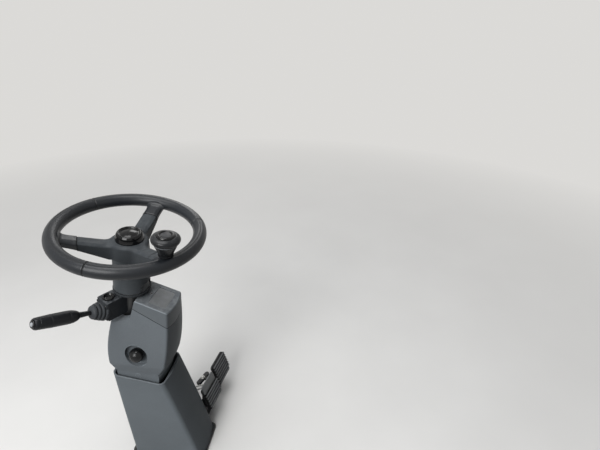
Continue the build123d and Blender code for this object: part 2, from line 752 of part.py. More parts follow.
def ear_positions():
    """Left face of each ear that holds the pedal shaft."""
    reach = PEDAL_HUB_LENGTH / 2 + MOVE_GAP
    return (PEDAL_FIRST_X - reach - PEDAL_EAR_T, PEDAL_FIRST_X + PEDAL_PITCH + reach)


def pedal_bracket():
    """Two ears that stand on the base plate."""
    ears = []
    for x in ear_positions():
        far = x + PEDAL_EAR_T
        ear = block((x, far), (PEDAL_Y - PEDAL_EAR_R, PEDAL_Y + PEDAL_EAR_R), (BASE_T, PEDAL_Z))
        ear += across(PEDAL_Y, PEDAL_Z, PEDAL_EAR_R, x, far)
        ears.append(ear - across(PEDAL_Y, PEDAL_Z, PEDAL_SHAFT_R + RUN_GAP, x - 1, far + 1))
    return ears[0] + ears[1]


def pedal_shaft():
    """Shaft that both pedals turn on."""
    first, last = ear_positions()
    return across(PEDAL_Y, PEDAL_Z, PEDAL_SHAFT_R, first - PEDAL_SHAFT_R / 2, last + PEDAL_EAR_T + PEDAL_SHAFT_R / 2)


def pad_plane(x):
    """Back plane of a pad: X across, Y up along the pad, Z to the operator."""
    a = radians(PAD_ANGLE)
    square = Plane(origin=(x, PAD_BOTTOM_Y, PAD_BOTTOM_Z), x_dir=(1, 0, 0), z_dir=(0, -sin(a), cos(a)))
    return square * Plane.XY.rotated((0, -PAD_TURN, 0))


def pad_outline():
    """Outline of a pad, with its lower outer corner well rounded."""
    face = Rectangle(PAD_WIDTH, PAD_HEIGHT, align=(Align.CENTER, Align.MIN))
    lower = face.vertices().group_by(Axis.Y)[0].sort_by(Axis.X)
    face = fillet(lower[-1], PAD_CORNER)
    return fillet(face.vertices().group_by(Axis.Y)[-1], PAD_TOP_CORNER)


def along_pad(up, behind):
    """A (Y, Z) place by its distance up the pad and behind the back plate."""
    a = radians(PAD_ANGLE)
    return (PAD_BOTTOM_Y + up * cos(a) + behind * sin(a), PAD_BOTTOM_Z + up * sin(a) - behind * cos(a))


def pedal_lever(x):
    """Pad's back plate, two side arms and the hub on the shaft."""
    back = pad_plane(x) * extrude(pad_outline(), PAD_PLATE_T, dir=(0, 0, 1))
    sunk = -PAD_PLATE_T / 2
    outline = ((PEDAL_Y - PEDAL_HUB_R + 1, PEDAL_Z), along_pad(ARM_T, sunk), along_pad(PAD_HEIGHT * 0.8, sunk),
               along_pad(PAD_HEIGHT * 0.6, ARM_DEPTH), (PEDAL_Y + PEDAL_HUB_R - 1, PEDAL_Z))
    lever = back
    for side in (-1, 1):
        x_low = x + side * ARM_SPACING / 2 - ARM_T / 2
        lever += side_plate(outline, x_low, x_low + ARM_T)
    half = PEDAL_HUB_LENGTH / 2
    lever += across(PEDAL_Y, PEDAL_Z, PEDAL_HUB_R, x - half, x + half)
    return lever - across(PEDAL_Y, PEDAL_Z, PEDAL_SHAFT_R + RUN_GAP, x - half - 1, x + half + 1)


def pedal_pad(x, height):
    """Ribbed rubber pad on the lower part of the back plate, up to a height."""
    pad = extrude(pad_outline(), PAD_T, dir=(0, 0, 1))
    pad &= Box(2 * PAD_WIDTH, 2 * height, 4 * PAD_T)
    pitch = PAD_HEIGHT / RIB_COUNT
    groove = Box(2 * PAD_WIDTH, pitch - RIB_WIDTH, 2 * RIB_RISE)
    for i in range(1, RIB_COUNT):
        if pitch * i < height:
            pad -= Pos(0, pitch * i, PAD_T) * groove
    return pad_plane(x) * Pos(0, 0, PAD_PLATE_T) * pad


def pedal_latch():
    """Plate on the left pedal, above its pad, that can join it to the right one."""
    low, half = SHORT_PAD + 2, PAD_WIDTH / 2 - LATCH_T
    plate = Box(2 * half, LATCH_TOP - low, LATCH_T, align=(Align.CENTER, Align.MIN, Align.MIN))
    plate = fillet(plate.edges().filter_by(Axis.Z).group_by(Axis.Y)[-1], LATCH_T)
    return pad_plane(PEDAL_FIRST_X) * Pos(0, low, PAD_PLATE_T) * plate


def bar_place():
    """Middle of the bar behind the latch, X along the bar and Y up."""
    middle = Pos(LATCH_BAR_X, LATCH_BAR_UP, -LATCH_BAR_BACK)
    return pad_plane(PEDAL_FIRST_X) * middle * Rot(0, -LATCH_BAR_TURN, 0)


def latch_arm():
    """Bar with round ends behind the latch, on a block that joins it to the back plate."""
    bar = Box(LATCH_BAR, LATCH_BAR_T, LATCH_BAR_T)
    bar = fillet(bar.edges().filter_by(Axis.Y), LATCH_BAR_T * 0.45)
    block_size = Box(LATCH_BAR_T, LATCH_BAR_T / 2, LATCH_BAR_BACK, align=(Align.CENTER, Align.CENTER, Align.MAX))
    foot = pad_plane(PEDAL_FIRST_X) * Pos(LATCH_BAR_X, LATCH_BAR_UP, 0) * block_size
    return bar_place() * bar + foot


def latch_pin():
    """Head of the latch's pin, on the bar."""
    head = Cylinder(LATCH_PIN_R, LATCH_PIN_RISE, align=(Align.CENTER, Align.CENTER, Align.MIN))
    return bar_place() * Pos(0, LATCH_BAR_T / 2, 0) * Rot(-90, 0, 0) * head


def main():
    """Builds and writes every piece."""
    os.makedirs("parts", exist_ok=True)
    form = head_form()
    pieces = {
        "base_plate": base_plate(),
        "post": post(),
        "tilt_pin": tilt_pin(),
        "lower_shroud": lower_shroud(),
        "pedal_bracket": pedal_bracket(),
        "pedal_shaft": pedal_shaft(),
        "pedal_latch": pedal_latch(),
        "latch_arm": latch_arm(),
        "latch_pin": latch_pin(),
        "tilting_head": tilting_head(form),
        "lid": lid(form),
        "lid_panel": lid_panel(),
        "tilt_knob": tilt_knob(),
        "column_sleeve": column_sleeve(),
        "collar": collar(),
        "ridged_boot": ridged_boot(),
        "switch_box": switch_box(),
        "box_button": box_button(),
        "stalk_bellows": stalk_bellows(),
        "stalk_rod": stalk_rod(),
        "stalk_grip": stalk_grip(),
        "stalk_button": stalk_button(),
        "wheel_rim": wheel_rim(),
        "wheel_hub": wheel_hub(),
        "hub_cap": hub_cap(),
        "steering_shaft": steering_shaft(),
        "spinner_clamp": spinner_clamp(),
        "spinner_grip": spinner_grip(),
        "spinner_cap": spinner_cap(),
    }
    for side, x, height in pedal_places():
        pieces[f"pedal_lever_{side}"] = pedal_lever(x)
        pieces[f"pedal_pad_{side}"] = pedal_pad(x, height)
    for name, shape in pieces.items():
        save(name, shape)


main()
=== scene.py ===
"""Dressed steering column of a farm machine, with its two brake pedals.

Metres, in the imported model's frame: X to the machine's right, Y forward, Z up.
Shapes are worked out in millimetres on a line's own axes, and placed as they go into a mesh.
"""
import math

import bmesh
import bpy
import numpy as np
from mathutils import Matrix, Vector


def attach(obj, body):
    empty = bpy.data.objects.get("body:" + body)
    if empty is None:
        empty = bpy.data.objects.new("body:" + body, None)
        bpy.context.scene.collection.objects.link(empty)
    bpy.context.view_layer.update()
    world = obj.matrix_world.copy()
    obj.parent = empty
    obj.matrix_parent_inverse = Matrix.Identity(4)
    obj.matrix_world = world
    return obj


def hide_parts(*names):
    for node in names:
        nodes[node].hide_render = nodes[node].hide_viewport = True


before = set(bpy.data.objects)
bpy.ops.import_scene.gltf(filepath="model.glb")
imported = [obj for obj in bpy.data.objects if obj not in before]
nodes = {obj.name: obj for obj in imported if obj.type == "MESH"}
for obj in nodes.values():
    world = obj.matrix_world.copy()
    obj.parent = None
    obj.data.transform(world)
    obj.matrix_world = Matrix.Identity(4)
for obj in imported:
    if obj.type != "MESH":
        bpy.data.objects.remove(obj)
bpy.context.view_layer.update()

TAU = 2 * math.pi


# Places: an origin in millimetres and three axes as rows

def moved(place, x, y, z):
    """The same axes, with the origin moved along them."""
    origin, axes = place
    return origin + np.array([x, y, z]) @ axes, axes


def turned_about(place, axis, degrees):
    """The same origin, with the axes turned about one of them (0, 1 or 2)."""
    origin, axes = place
    a = math.radians(degrees)
    first, second = (axis + 1) % 3, (axis + 2) % 3
    new = axes.copy()
    new[first] = axes[first] * math.cos(a) + axes[second] * math.sin(a)
    new[second] = axes[second] * math.cos(a) - axes[first] * math.sin(a)
    return origin, new


def placed(place, local):
    """Local millimetres to metres in the part's frame."""
    origin, axes = place
    return (origin + local @ axes) * 0.001


MACHINE = (np.zeros(3), np.eye(3))
LEAN, LID_SLOPE, LID_EDGE = 8.3, 20.5, 645.5
COLUMN = turned_about(moved(MACHINE, 0, 10, 840), 0, LEAN)
KNOB_R, KNOB_ANGLE = 170, math.radians(236)
KNOB_LINE = moved(COLUMN, KNOB_R * math.cos(KNOB_ANGLE), KNOB_R * math.sin(KNOB_ANGLE), 0)
BOX = turned_about(moved(COLUMN, -79.8, 32, -195), 2, -28)
STALK = turned_about(moved(BOX, 0, 24, -34), 1, -70)
BALL_LINE = turned_about(moved(MACHINE, -39, 33, 453), 1, -90)
LID = turned_about(moved(MACHINE, 0, -48, LID_EDGE - 48 * math.tan(math.radians(LID_SLOPE))), 0, LID_SLOPE)


def pad_place(x):
    """Back plate of a pedal: X across, Y up the pad, Z to the operator."""
    return turned_about(turned_about(moved(MACHINE, x, -108, 74), 0, 75), 1, -8)


# Points, in grids of rows and columns

def circle(steps):
    """Angles of even steps once round."""
    return np.linspace(0, TAU, steps, endpoint=False)


def joined(*parts):
    """Points from their coordinates, which spread over one grid."""
    return np.stack(np.broadcast_arrays(*parts), axis=-1)


def around(radius, angle, height):
    """Points from their radius, angle and height."""
    return joined(radius * np.cos(angle), radius * np.sin(angle), height)


def swung(points, angle):
    """Points of a plane or of space, turned about the third axis."""
    turn = np.eye(points.shape[-1])
    turn[:2, :2] = [[math.cos(angle), math.sin(angle)], [-math.sin(angle), math.cos(angle)]]
    return points @ turn


def bell(away, width):
    """Bell-shaped curve: 1 at nought, almost gone two widths away."""
    return np.exp(-(away / width) ** 2)


def round_over(inside, radius):
    """Fall of a quarter-round edge at a distance in from it: the whole radius at nought, none a radius in."""
    return radius - np.sqrt(np.clip(radius ** 2 - np.clip(radius - inside, 0, radius) ** 2, 0, None))


# Meshes

def band(points, wrap_rows=False, lines=None):
    """Grid of points, its columns closed round; wrap_rows closes the rows too. lines (rows, columns) says how
    dark the mesh is marked at each point, 0 to 1: joint lines, and on some pieces painted shade."""
    return points, wrap_rows, np.zeros(points.shape[:2]) if lines is None else lines


def grid_mesh(name, points, wrap_rows=False, flip=False):
    """Mesh of a grid's quads, its columns closed round; flip turns its faces over."""
    rows, columns = points.shape[:2]
    i, j = np.meshgrid(np.arange(rows if wrap_rows else rows - 1), np.arange(columns), indexing="ij")
    i2, j2 = (i + 1) % rows, (j + 1) % columns
    quads = joined(i * columns + j, i * columns + j2, i2 * columns + j2, i2 * columns + j).reshape(-1, 4)
    mesh = bpy.data.meshes.new(name)
    mesh.from_pydata(points.reshape(-1, 3).tolist(), [], quads[:, ::-1 if flip else 1].tolist())
    return mesh


def dress(node, finish):
    """Gives a CAD node a finish."""
    slots = nodes[node].data.materials
    slots.clear()
    slots.append(finish)


def shown(name, data):
    """An object of some data, linked into the scene."""
    thing = bpy.data.objects.new(name, data)
    bpy.context.scene.collection.objects.link(thing)
    return thing


def skin(name, place, body, finish, bands, replaces=None, sharp=38.0):
    """One piece from grids: each is (rows, columns, 3), in millimetres, joined by quads round the columns.
    Doubles at seams and poles merge, and a grid whose volume comes out negative has its faces turned. The piece
    rides on a body. Where a CAD node is named, it stands for that, and the hidden node gets its finish too."""
    whole = bmesh.new()
    for points, wrap_rows, lines in bands:
        part = grid_mesh(name, placed(place, points), wrap_rows)
        marks = part.attributes.new("line", "FLOAT", "POINT").data
        marks.foreach_set("value", lines.ravel().astype(np.float32))
        shell = bmesh.new()
        shell.from_mesh(part)
        bmesh.ops.remove_doubles(shell, verts=shell.verts, dist=2e-6)
        bmesh.ops.dissolve_degenerate(shell, edges=shell.edges, dist=1e-7)
        if shell.calc_volume(signed=True) < 0:
            bmesh.ops.reverse_faces(shell, faces=shell.faces)
        shell.to_mesh(part)
        shell.free()
        whole.from_mesh(part)
        bpy.data.meshes.remove(part)
    mesh = bpy.data.meshes.new(name)
    whole.to_mesh(mesh)
    whole.free()
    mesh.shade_smooth()
    mesh.set_sharp_from_angle(angle=math.radians(sharp))
    mesh.materials.append(finish)
    piece = shown(name, mesh)
    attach(piece, body)
    if replaces:
        dress(replaces, finish)
        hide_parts(replaces)


def turned_skin(name, place, body, finish, profile, columns, replaces=None):
    """A piece turned from one profile."""
    skin(name, place, body, finish, [lathe(profile, columns)], replaces)


def capped(points):
    """The grid with a pole at each end, at the middle of its first and last rows."""
    first, last = (np.broadcast_to(row.mean(axis=0), row.shape)[None] for row in (points[0], points[-1]))
    return np.concatenate([first, points, last])


def lathe(profile, columns, wrap=False):
    """Surface of revolution: the profile's (radius, height) carried round the line; wrap closes the profile."""
    radius, height = np.asarray(profile, float).T[..., None]
    return band(around(radius, circle(columns), height), wrap)


def rounded(corners, radii, steps):
    """A profile with its inner corners rounded: each corner gives way to an arc, as a quadratic curve between
    the two points that lie its radius away along the two runs."""
    corners = np.asarray(corners, float)
    radii = np.broadcast_to(np.asarray(radii, float), (len(corners),))
    out = [corners[:1]]
    t = np.linspace(0, 1, steps)[:, None]
    for before, here, after, radius in zip(corners[:-2], corners[1:-1], corners[2:], radii[1:-1]):
        back, on = before - here, after - here
        room = min(radius, np.linalg.norm(back) * 0.49, np.linalg.norm(on) * 0.49)
        start = here + back / np.linalg.norm(back) * room
        end = here + on / np.linalg.norm(on) * room
        out.append((1 - t) ** 2 * start + 2 * t * (1 - t) * here + t ** 2 * end)
    out.append(corners[-1:])
    return np.concatenate(out)


def round_rectangle(width, height, radius, steps=9):
    """Closed outline of a rectangle whose corners are quarter circles, in order round it."""
    quarter = np.radians(np.linspace(0, 90, steps))
    corner = joined(np.cos(quarter), np.sin(quarter)) * radius
    return np.concatenate([
        swung(corner, k * math.pi / 2) + [sx * (width / 2 - radius), sy * (height / 2 - radius)]
        for k, (sx, sy) in enumerate(((1, 1), (-1, 1), (-1, -1), (1, -1)))])


def slab(outline, low, high, edge):
    """Plate over a closed outline: its side stands from low to high, and both edges are quarter circles, made
    by drawing the outline in along its own normals."""
    ahead = np.roll(outline, -1, axis=0) - np.roll(outline, 1, axis=0)
    normal = joined(ahead[:, 1], -ahead[:, 0])
    normal /= np.hypot(*normal.T)[:, None]
    a = np.radians(np.linspace(-90, 0, 5))
    inward, rise = edge * (np.cos(a) - 1), edge * (1 + np.sin(a))
    inward = np.concatenate([inward, inward[::-1]])
    height = np.concatenate([low + rise, (high - rise)[::-1]])
    plan = outline + normal * inward[:, None, None]
    return band(capped(joined(plan[..., 0], plan[..., 1], height[:, None])))


def rope(path, radius, columns, wrap=False):
    """Round bar along a path: a circle of the given radius (one for all, or one for each point) on two axes
    that are square to the path, carried from point to point without twist."""
    path = np.asarray(path, float)
    ahead = np.roll(path, -1, axis=0) - np.roll(path, 1, axis=0)
    if not wrap:
        ahead[0], ahead[-1] = path[1] - path[0], path[-1] - path[-2]
    ahead /= np.linalg.norm(ahead, axis=1)[:, None]
    side = np.zeros_like(path)
    last = np.cross(ahead[0], [0.31, 0.17, 0.93])
    for k, step in enumerate(ahead):
        last = last - step * (last @ step)
        last /= np.linalg.norm(last)
        side[k] = last
    up = np.cross(ahead, side)
    a = circle(columns)[None, :, None]
    ring = side[:, None] * np.cos(a) + up[:, None] * np.sin(a)
    points = path[:, None] + ring * np.reshape(radius, (-1, 1, 1))
    return band(points, True) if wrap else band(capped(points))


def six_sided(rows, columns):
    """Turned piece whose rows of (radius, height, share) lean towards a hexagon by their share: the hexagon's
    radius is its inner one over the cosine of the angle from the nearest flat's middle."""
    radius, height, share = np.asarray(rows, float).T[..., None]
    angle = circle(columns)
    flat = math.cos(math.pi / 6) / np.cos((angle % (math.pi / 3)) - math.pi / 6)
    return band(around(radius * (1 - share + share * flat), angle, height))


# Finishes

SEAM_LOW, SEAM_SLOPE = 0.6097, 31.0


def slope_normal(degrees):
    """Normal of a plane that rises to the front by some degrees."""
    return (0.0, -math.sin(math.radians(degrees)), math.cos(math.radians(degrees)))


def shade(red, green, blue, times=1.0):
    """Linear colour from a colour as it is seen, 0 to 1, made lighter or darker."""
    linear = [c / 12.92 if c <= 0.04045 else ((c + 0.055) / 1.055) ** 2.4 for c in (red, green, blue)]
    return (*(c * times for c in linear), 1.0)


class Nodes:
    """A node tree that grows call by call."""

    def __init__(self, tree):
        self.tree = tree

    def add(self, kind, values=None, **settings):
        """A node with its settings, and its inputs linked or set by name or number."""
        node = self.tree.nodes.new(kind)
        for key, value in settings.items():
            setattr(node, key, value)
        for key, value in (values or {}).items():
            if isinstance(value, bpy.types.NodeSocket):
                self.tree.links.new(value, node.inputs[key])
            else:
                node.inputs[key].default_value = value
        return node

    def spread(self, value, low, high, to_low=0.0, to_high=1.0):
        """Value carried from one range to another and held inside it."""
        node = self.add("ShaderNodeMapRange", {
            "Value": value, "From Min": low, "From Max": high, "To Min": to_low, "To Max": to_high})
        return node.outputs["Result"]

    def calc(self, kind, first, second):
        """Plain arithmetic on two values."""
        return self.add("ShaderNodeMath", {0: first, 1: second}, operation=kind).outputs[0]

    def times(self, first, second):
        """Product of two values."""
        return self.calc("MULTIPLY", first, second)

    def dot(self, first, second):
        """Dot product of two vectors."""
        return self.add("ShaderNodeVectorMath", {0: first, 1: second}, operation="DOT_PRODUCT").outputs["Value"]

    def seen(self):
        """1 for the camera, in mirrors and through glass, 0 for light between surfaces."""
        path = self.add("ShaderNodeLightPath").outputs
        seen = self.calc("MAXIMUM", path["Is Camera Ray"], path["Is Glossy Ray"])
        return self.calc("MAXIMUM", seen, path["Is Transmission Ray"])


class Finish(Nodes):
    """A material put together from nodes that read the object's own coordinates."""

    def __init__(self, name, roughness, metallic=0.0, specular=0.5):
        self.material = bpy.data.materials.new(name)
        self.material.use_nodes = True
        super().__init__(self.material.node_tree)
        self.shader = self.tree.nodes["Principled BSDF"]
        self.shader.inputs["Roughness"].default_value = roughness
        self.shader.inputs["Metallic"].default_value = metallic
        self.shader.inputs["Specular IOR Level"].default_value = specular
        coordinates = self.add("ShaderNodeTexCoord").outputs
        self.spot, self.facing = coordinates["Object"], coordinates["Normal"]
        self.relief = None

    def noise(self, size, detail=2.0, rough=0.5, stretch=(1, 1, 1), bend=0.0):
        """Soft noise with marks about size metres wide, stretched along an axis where asked."""
        place = self.add("ShaderNodeMapping", {"Vector": self.spot, "Scale": tuple(1 / s for s in stretch)})
        node = self.add("ShaderNodeTexNoise", {
            "Vector": place.outputs[0], "Scale": 0.6 / size, "Detail": detail, "Roughness": rough,
            "Distortion": bend})
        return node.outputs["Fac"]

    def cells(self, size, feature="F1"):
        """Distance field of scattered cells about size metres apart."""
        node = self.add("ShaderNodeTexVoronoi", {"Vector": self.spot, "Scale": 1 / size}, feature=feature)
        return node.outputs["Distance"]

    def mix(self, factor, first, second):
        """Colour between two others."""
        node = self.add("ShaderNodeMix", {0: factor, 6: first, 7: second}, data_type="RGBA")
        return node.outputs[2]

    def vary(self, value, colour, low, high):
        """The colour drifting between a darker and a lighter shade with a noise."""
        return self.mix(self.spread(value, 0.3, 0.7), shade(*colour, low), shade(*colour, high))

    def cover(self, body, mask, amount, colour):
        """The body's colour, part covered by another where a mask says."""
        return self.mix(self.times(mask, amount), body, colour)

    def edges(self, radius):
        """1 on convex and concave edges, 0 on flat faces: how far a rounded normal leaves the true one."""
        soft = self.add("ShaderNodeBevel", {"Radius": radius}, samples=4).outputs[0]
        true = self.add("ShaderNodeNewGeometry").outputs["Normal"]
        return self.spread(self.calc("SUBTRACT", 1.0, self.dot(soft, true)), 0.02, 0.30)

    def hollows(self, distance):
        """1 in corners and under overhangs, 0 in the open."""
        ao = self.add("ShaderNodeAmbientOcclusion", {"Distance": distance}, samples=6)
        return self.spread(ao.outputs["AO"], 0.75, 0.2)

    def upward(self):
        """1 on faces that look up, 0 on the rest."""
        return self.spread(self.add("ShaderNodeSeparateXYZ", {0: self.facing}).outputs["Z"], 0.55, 1.0)

    def slope_line(self, height, degrees, half):
        """1 within half a line's width of a plane that rises to the front and crosses Y = 0 at a height."""
        level = height * math.cos(math.radians(degrees))
        away = self.calc("SUBTRACT", self.dot(self.spot, slope_normal(degrees)), level)
        return self.spread(self.calc("ABSOLUTE", away, 0.0), half * 1.25, half * 0.75)

    def lines(self, body, dark):
        """The body's colour, darkened where the mesh marks a line: joint lines, and on some pieces painted
        shade.
        """
        return self.mix(self.add("ShaderNodeAttribute", attribute_name="line").outputs["Fac"], body, dark)

    def raise_by(self, height, depth, strength):
        """Adds a relief to the shading, depth metres deep."""
        values = {"Height": height, "Distance": depth, "Strength": strength}
        if self.relief is not None:
            values["Normal"] = self.relief
        self.relief = self.add("ShaderNodeBump", values).outputs[0]

    def done(self, colour, roughness=None):
        """Links what was built into the shader, and gives the material."""
        for value, key in ((colour, "Base Color"), (roughness, "Roughness"), (self.relief, "Normal")):
            if value is not None:
                self.tree.links.new(value, self.shader.inputs[key])
        return self.material


def moulded(name, colour, rough, grain=0.0011, depth=0.00012, edge_wear_and_highlight=1.35, dust=0.25, shine=0.10, seam=False):
    """Moulded plastic: pebbled grain, slow drift of shade, paler worn edges that on the lid also carry a
    painted highlight, painted shade in corners, and a little dust on top that on the box also paints the top
    lighter as painted light. With seam, dirt darkens a line along the lid's lower joint, and a painted
    highlight lightens the rounding of its edge."""
    f = Finish(name + "_plastic", rough, specular=shine)
    drift = f.noise(0.16, detail=3.0)
    pebble = f.cells(grain)
    speck = f.noise(grain * 1.4, detail=3.0, rough=0.7)
    body = f.vary(drift, colour, 0.90, 1.10)
    body = f.mix(f.spread(speck, 0.35, 0.75, 0.0, 0.35), body, shade(*colour, 1.55))
    scuff = f.spread(f.noise(0.03, detail=5.0, rough=0.65, bend=0.6), 0.56, 0.74, 0.0, 0.30)
    body = f.mix(scuff, body, shade(*colour, 1.3))
    # Paler worn edges; on the lid, where this is set high, they also paint a highlight along its top edges.
    worn = f.times(f.edges(0.0022), f.spread(f.noise(0.02, detail=4.0), 0.35, 0.6, 0.25, 0.8))
    body = f.mix(worn, body, shade(*colour, edge_wear_and_highlight * 1.25))
    # Painted shade: darker in corners and under overhangs.
    body = f.cover(body, f.hollows(0.012), 0.45, shade(*colour, 0.45))
    # Dust on faces that look up; on the box it is strong enough to paint the top lighter, as painted light.
    top_dust_and_light = f.times(f.upward(), f.spread(f.noise(0.012, detail=6.0, rough=0.7), 0.42, 0.72))
    body = f.cover(body, top_dust_and_light, dust, shade(0.52, 0.53, 0.54))
    body = f.lines(body, shade(*colour, 0.16))
    if seam:
        body = f.mix(f.slope_line(SEAM_LOW, SEAM_SLOPE, 0.0011), body, shade(*colour, 0.22))
        # Painted highlight: a pale band where the normal turns from the lid's plane to its sides, along the
        # rounded top edges.
        over = f.dot(f.facing, slope_normal(LID_SLOPE))
        edge_highlight_band = f.times(over, f.calc("SUBTRACT", 1.0, over))
        body = f.cover(body, f.spread(edge_highlight_band, 0.190, 0.235), 0.9, shade(*colour, 2.2))
    f.raise_by(pebble, depth, 0.7)
    f.raise_by(speck, depth * 0.6, 0.5)
    dull = f.calc("ADD", f.spread(speck, 0.3, 0.7, rough - 0.07, rough + 0.08), f.times(scuff, 0.1))
    return f.done(body, dull)


def foam(name, colour):
    """Skin of foamed plastic on the rim: leather-like creases, polished where hands run."""
    f = Finish(name, 0.5, specular=0.32)
    crease = f.cells(0.0021, "F2")
    fine = f.noise(0.0009, detail=4.0, rough=0.7)
    body = f.vary(f.noise(0.09, detail=3.0), colour, 0.85, 1.15)
    body = f.mix(f.spread(crease, 0.5, 0.95, 0.0, 0.5), body, shade(*colour, 0.6))
    rubbed = f.spread(f.noise(0.05, detail=4.0, bend=0.5), 0.45, 0.7)
    body = f.cover(body, rubbed, 0.35, shade(*colour, 1.5))
    body = f.cover(body, f.edges(0.0018), 0.5, shade(*colour, 1.9))
    # Painted shade in corners and under overhangs.
    body = f.cover(body, f.hollows(0.012), 0.5, shade(*colour, 0.4))
    body = f.lines(body, shade(*colour, 0.16))
    f.raise_by(crease, 0.00018, 0.6)
    f.raise_by(fine, 0.00008, 0.5)
    return f.done(body, f.spread(rubbed, 0.0, 1.0, 0.40, 0.30))


def gloss(name, colour, rough=0.09):
    """Glossy black: nearly clean, with a film of fine dust and hair scratches that only the shine shows."""
    f = Finish(name + "_gloss", rough, specular=0.28)
    mist = f.noise(0.02, detail=5.0, rough=0.6)
    hair = f.noise(0.0012, detail=2.0, stretch=(14, 1, 1), bend=0.4)
    speck = f.spread(f.cells(0.0024), 0.10, 0.05)
    body = f.mix(f.spread(mist, 0.35, 0.75), shade(*colour), shade(*colour, 1.6))
    body = f.cover(body, speck, 0.25, shade(0.5, 0.49, 0.47))
    body = f.cover(body, f.edges(0.0012), 0.4, shade(*colour, 4.0))
    dull = f.calc("ADD", f.spread(mist, 0.4, 0.8, rough, rough + 0.14), f.spread(hair, 0.62, 0.75, 0.0, 0.10))
    f.raise_by(hair, 0.00001, 0.3)
    return f.done(body, dull)


def rubber(name, colour, rough, dust=0.35):
    """Rubber: dull and finely pitted, with grey dust held in its folds, paler worn crests that on the pads
    are partly painted highlight, and painted shade where the mesh marks lines.
    """
    f = Finish(name + "_rubber", rough, specular=0.2)
    fine = f.noise(0.0010, detail=4.0, rough=0.75)
    drift = f.noise(0.04, detail=4.0)
    body = f.vary(drift, colour, 0.8, 1.25)
    body = f.mix(f.spread(fine, 0.5, 0.8, 0.0, 0.5), body, shade(*colour, 1.9))
    caught = f.times(f.hollows(0.006), f.spread(f.noise(0.008, detail=5.0), 0.4, 0.65))
    body = f.cover(body, caught, dust, shade(0.45, 0.43, 0.40))
    # Paler edges and crests: worn, and on the pads' ribs a painted highlight.
    body = f.cover(body, f.edges(0.0012), 0.45, shade(*colour, 2.4))
    # Painted shade where the mesh marks lines: the folds of boot and bellows, and the pads away from their
    # ribs' upper edges.
    body = f.lines(body, shade(0.07, 0.072, 0.075))
    f.raise_by(fine, 0.00015, 0.7)
    return f.done(body, f.spread(drift, 0.3, 0.7, rough - 0.08, rough + 0.1))


def bright_metal(name, colour, rough, stretch=(10, 1, 1)):
    """Plated steel: drawn lines along one axis, slight spangle, dull spots and bare bright edges."""
    f = Finish(name, rough, metallic=1.0)
    lines = f.noise(0.0009, detail=3.0, stretch=stretch)
    spangle = f.noise(0.010, detail=3.0, rough=0.6)
    stain = f.spread(f.noise(0.018, detail=5.0, rough=0.65), 0.58, 0.72)
    body = f.vary(spangle, colour, 0.8, 1.1)
    body = f.cover(body, stain, 0.5, shade(0.42, 0.39, 0.34))
    body = f.mix(f.edges(0.0010), body, shade(0.93, 0.92, 0.90))
    f.raise_by(lines, 0.00004, 0.5)
    dull = f.calc("ADD", f.spread(lines, 0.3, 0.7, rough - 0.08, rough + 0.1), f.times(stain, 0.2))
    return f.done(body, dull)


def painted(name, colour, rough=0.42):
    """Painted steel: slight orange peel, chips to bare metal on edges and painted shade in corners."""
    f = Finish(name, rough)
    peel = f.noise(0.0016, detail=2.0)
    drift = f.noise(0.07, detail=4.0)
    body = f.vary(drift, colour, 0.85, 1.2)
    chips = f.times(f.edges(0.0014), f.spread(f.noise(0.006, detail=5.0, rough=0.7), 0.48, 0.56))
    # Painted shade in corners.
    body = f.cover(body, f.hollows(0.015), 0.5, shade(0.10, 0.097, 0.09))
    body = f.mix(chips, body, shade(0.60, 0.59, 0.57))
    f.raise_by(peel, 0.00006, 0.5)
    f.raise_by(chips, -0.00015, 0.6)
    return f.done(body, f.spread(drift, 0.3, 0.7, rough - 0.08, rough + 0.12))


housing_plastic = moulded("housing", (0.386, 0.406, 0.421), 0.50, seam=True)
shroud_plastic = moulded("shroud", (0.388, 0.411, 0.426), 0.48)
# Lid: its strong edge paling is partly a painted highlight along its top edges.
lid_plastic = moulded("lid", (0.340, 0.359, 0.373), 0.46, edge_wear_and_highlight=2.2, dust=1.0, shine=0.25, seam=True)
panel_plastic = moulded("panel", (0.440, 0.447, 0.450), 0.56, grain=0.0016, depth=0.0002, dust=0.8)
lip_plastic = moulded("lip", (0.400, 0.420, 0.435), 0.42, edge_wear_and_highlight=1.6)
liner_plastic = moulded("liner", (0.400, 0.421, 0.437), 0.48, grain=0.0009, dust=0.1)
collar_plastic = moulded("collar", (0.263, 0.277, 0.288), 0.45, grain=0.0008, dust=0.1)
foot_plastic = moulded("foot", (0.185, 0.195, 0.205), 0.45, grain=0.0008, dust=0.1)
hub_plastic = moulded("hub", (0.209, 0.222, 0.233), 0.44, grain=0.0009, dust=0.12)
# Box: its heavy dust on top also paints the top face lighter, as painted light from above.
box_plastic = moulded("box", (0.170, 0.178, 0.190), 0.42, grain=0.0008, edge_wear_and_highlight=3.4, dust=0.55)
grip_plastic = moulded("grip", (0.098, 0.103, 0.114), 0.36, grain=0.0009, dust=0.1, shine=0.2)
knob_plastic = moulded("knob", (0.108, 0.113, 0.120), 0.24, grain=0.0008, depth=0.00005, dust=0.1, shine=0.2)
ring_plastic = moulded("ring", (0.43, 0.44, 0.45), 0.30, grain=0.0006, depth=0.00003, dust=0.1)
button_plastic = moulded("button", (0.56, 0.57, 0.58), 0.30, grain=0.0006, depth=0.00003, dust=0.1)
rim_foam = foam("rim_foam", (0.112, 0.122, 0.136))
cap_gloss = gloss("cap", (0.045, 0.047, 0.050))
button_gloss = gloss("button", (0.050, 0.052, 0.056), 0.10)
ball_gloss = gloss("ball", (0.052, 0.054, 0.058), 0.22)
# Boot: its light grey stands for painted highlight on the ridges' crests, with painted shade in the folds.
boot_rubber = rubber("boot", (0.480, 0.490, 0.500), 0.45)
bellows_rubber = rubber("bellows", (0.225, 0.235, 0.246), 0.55, dust=0.2)
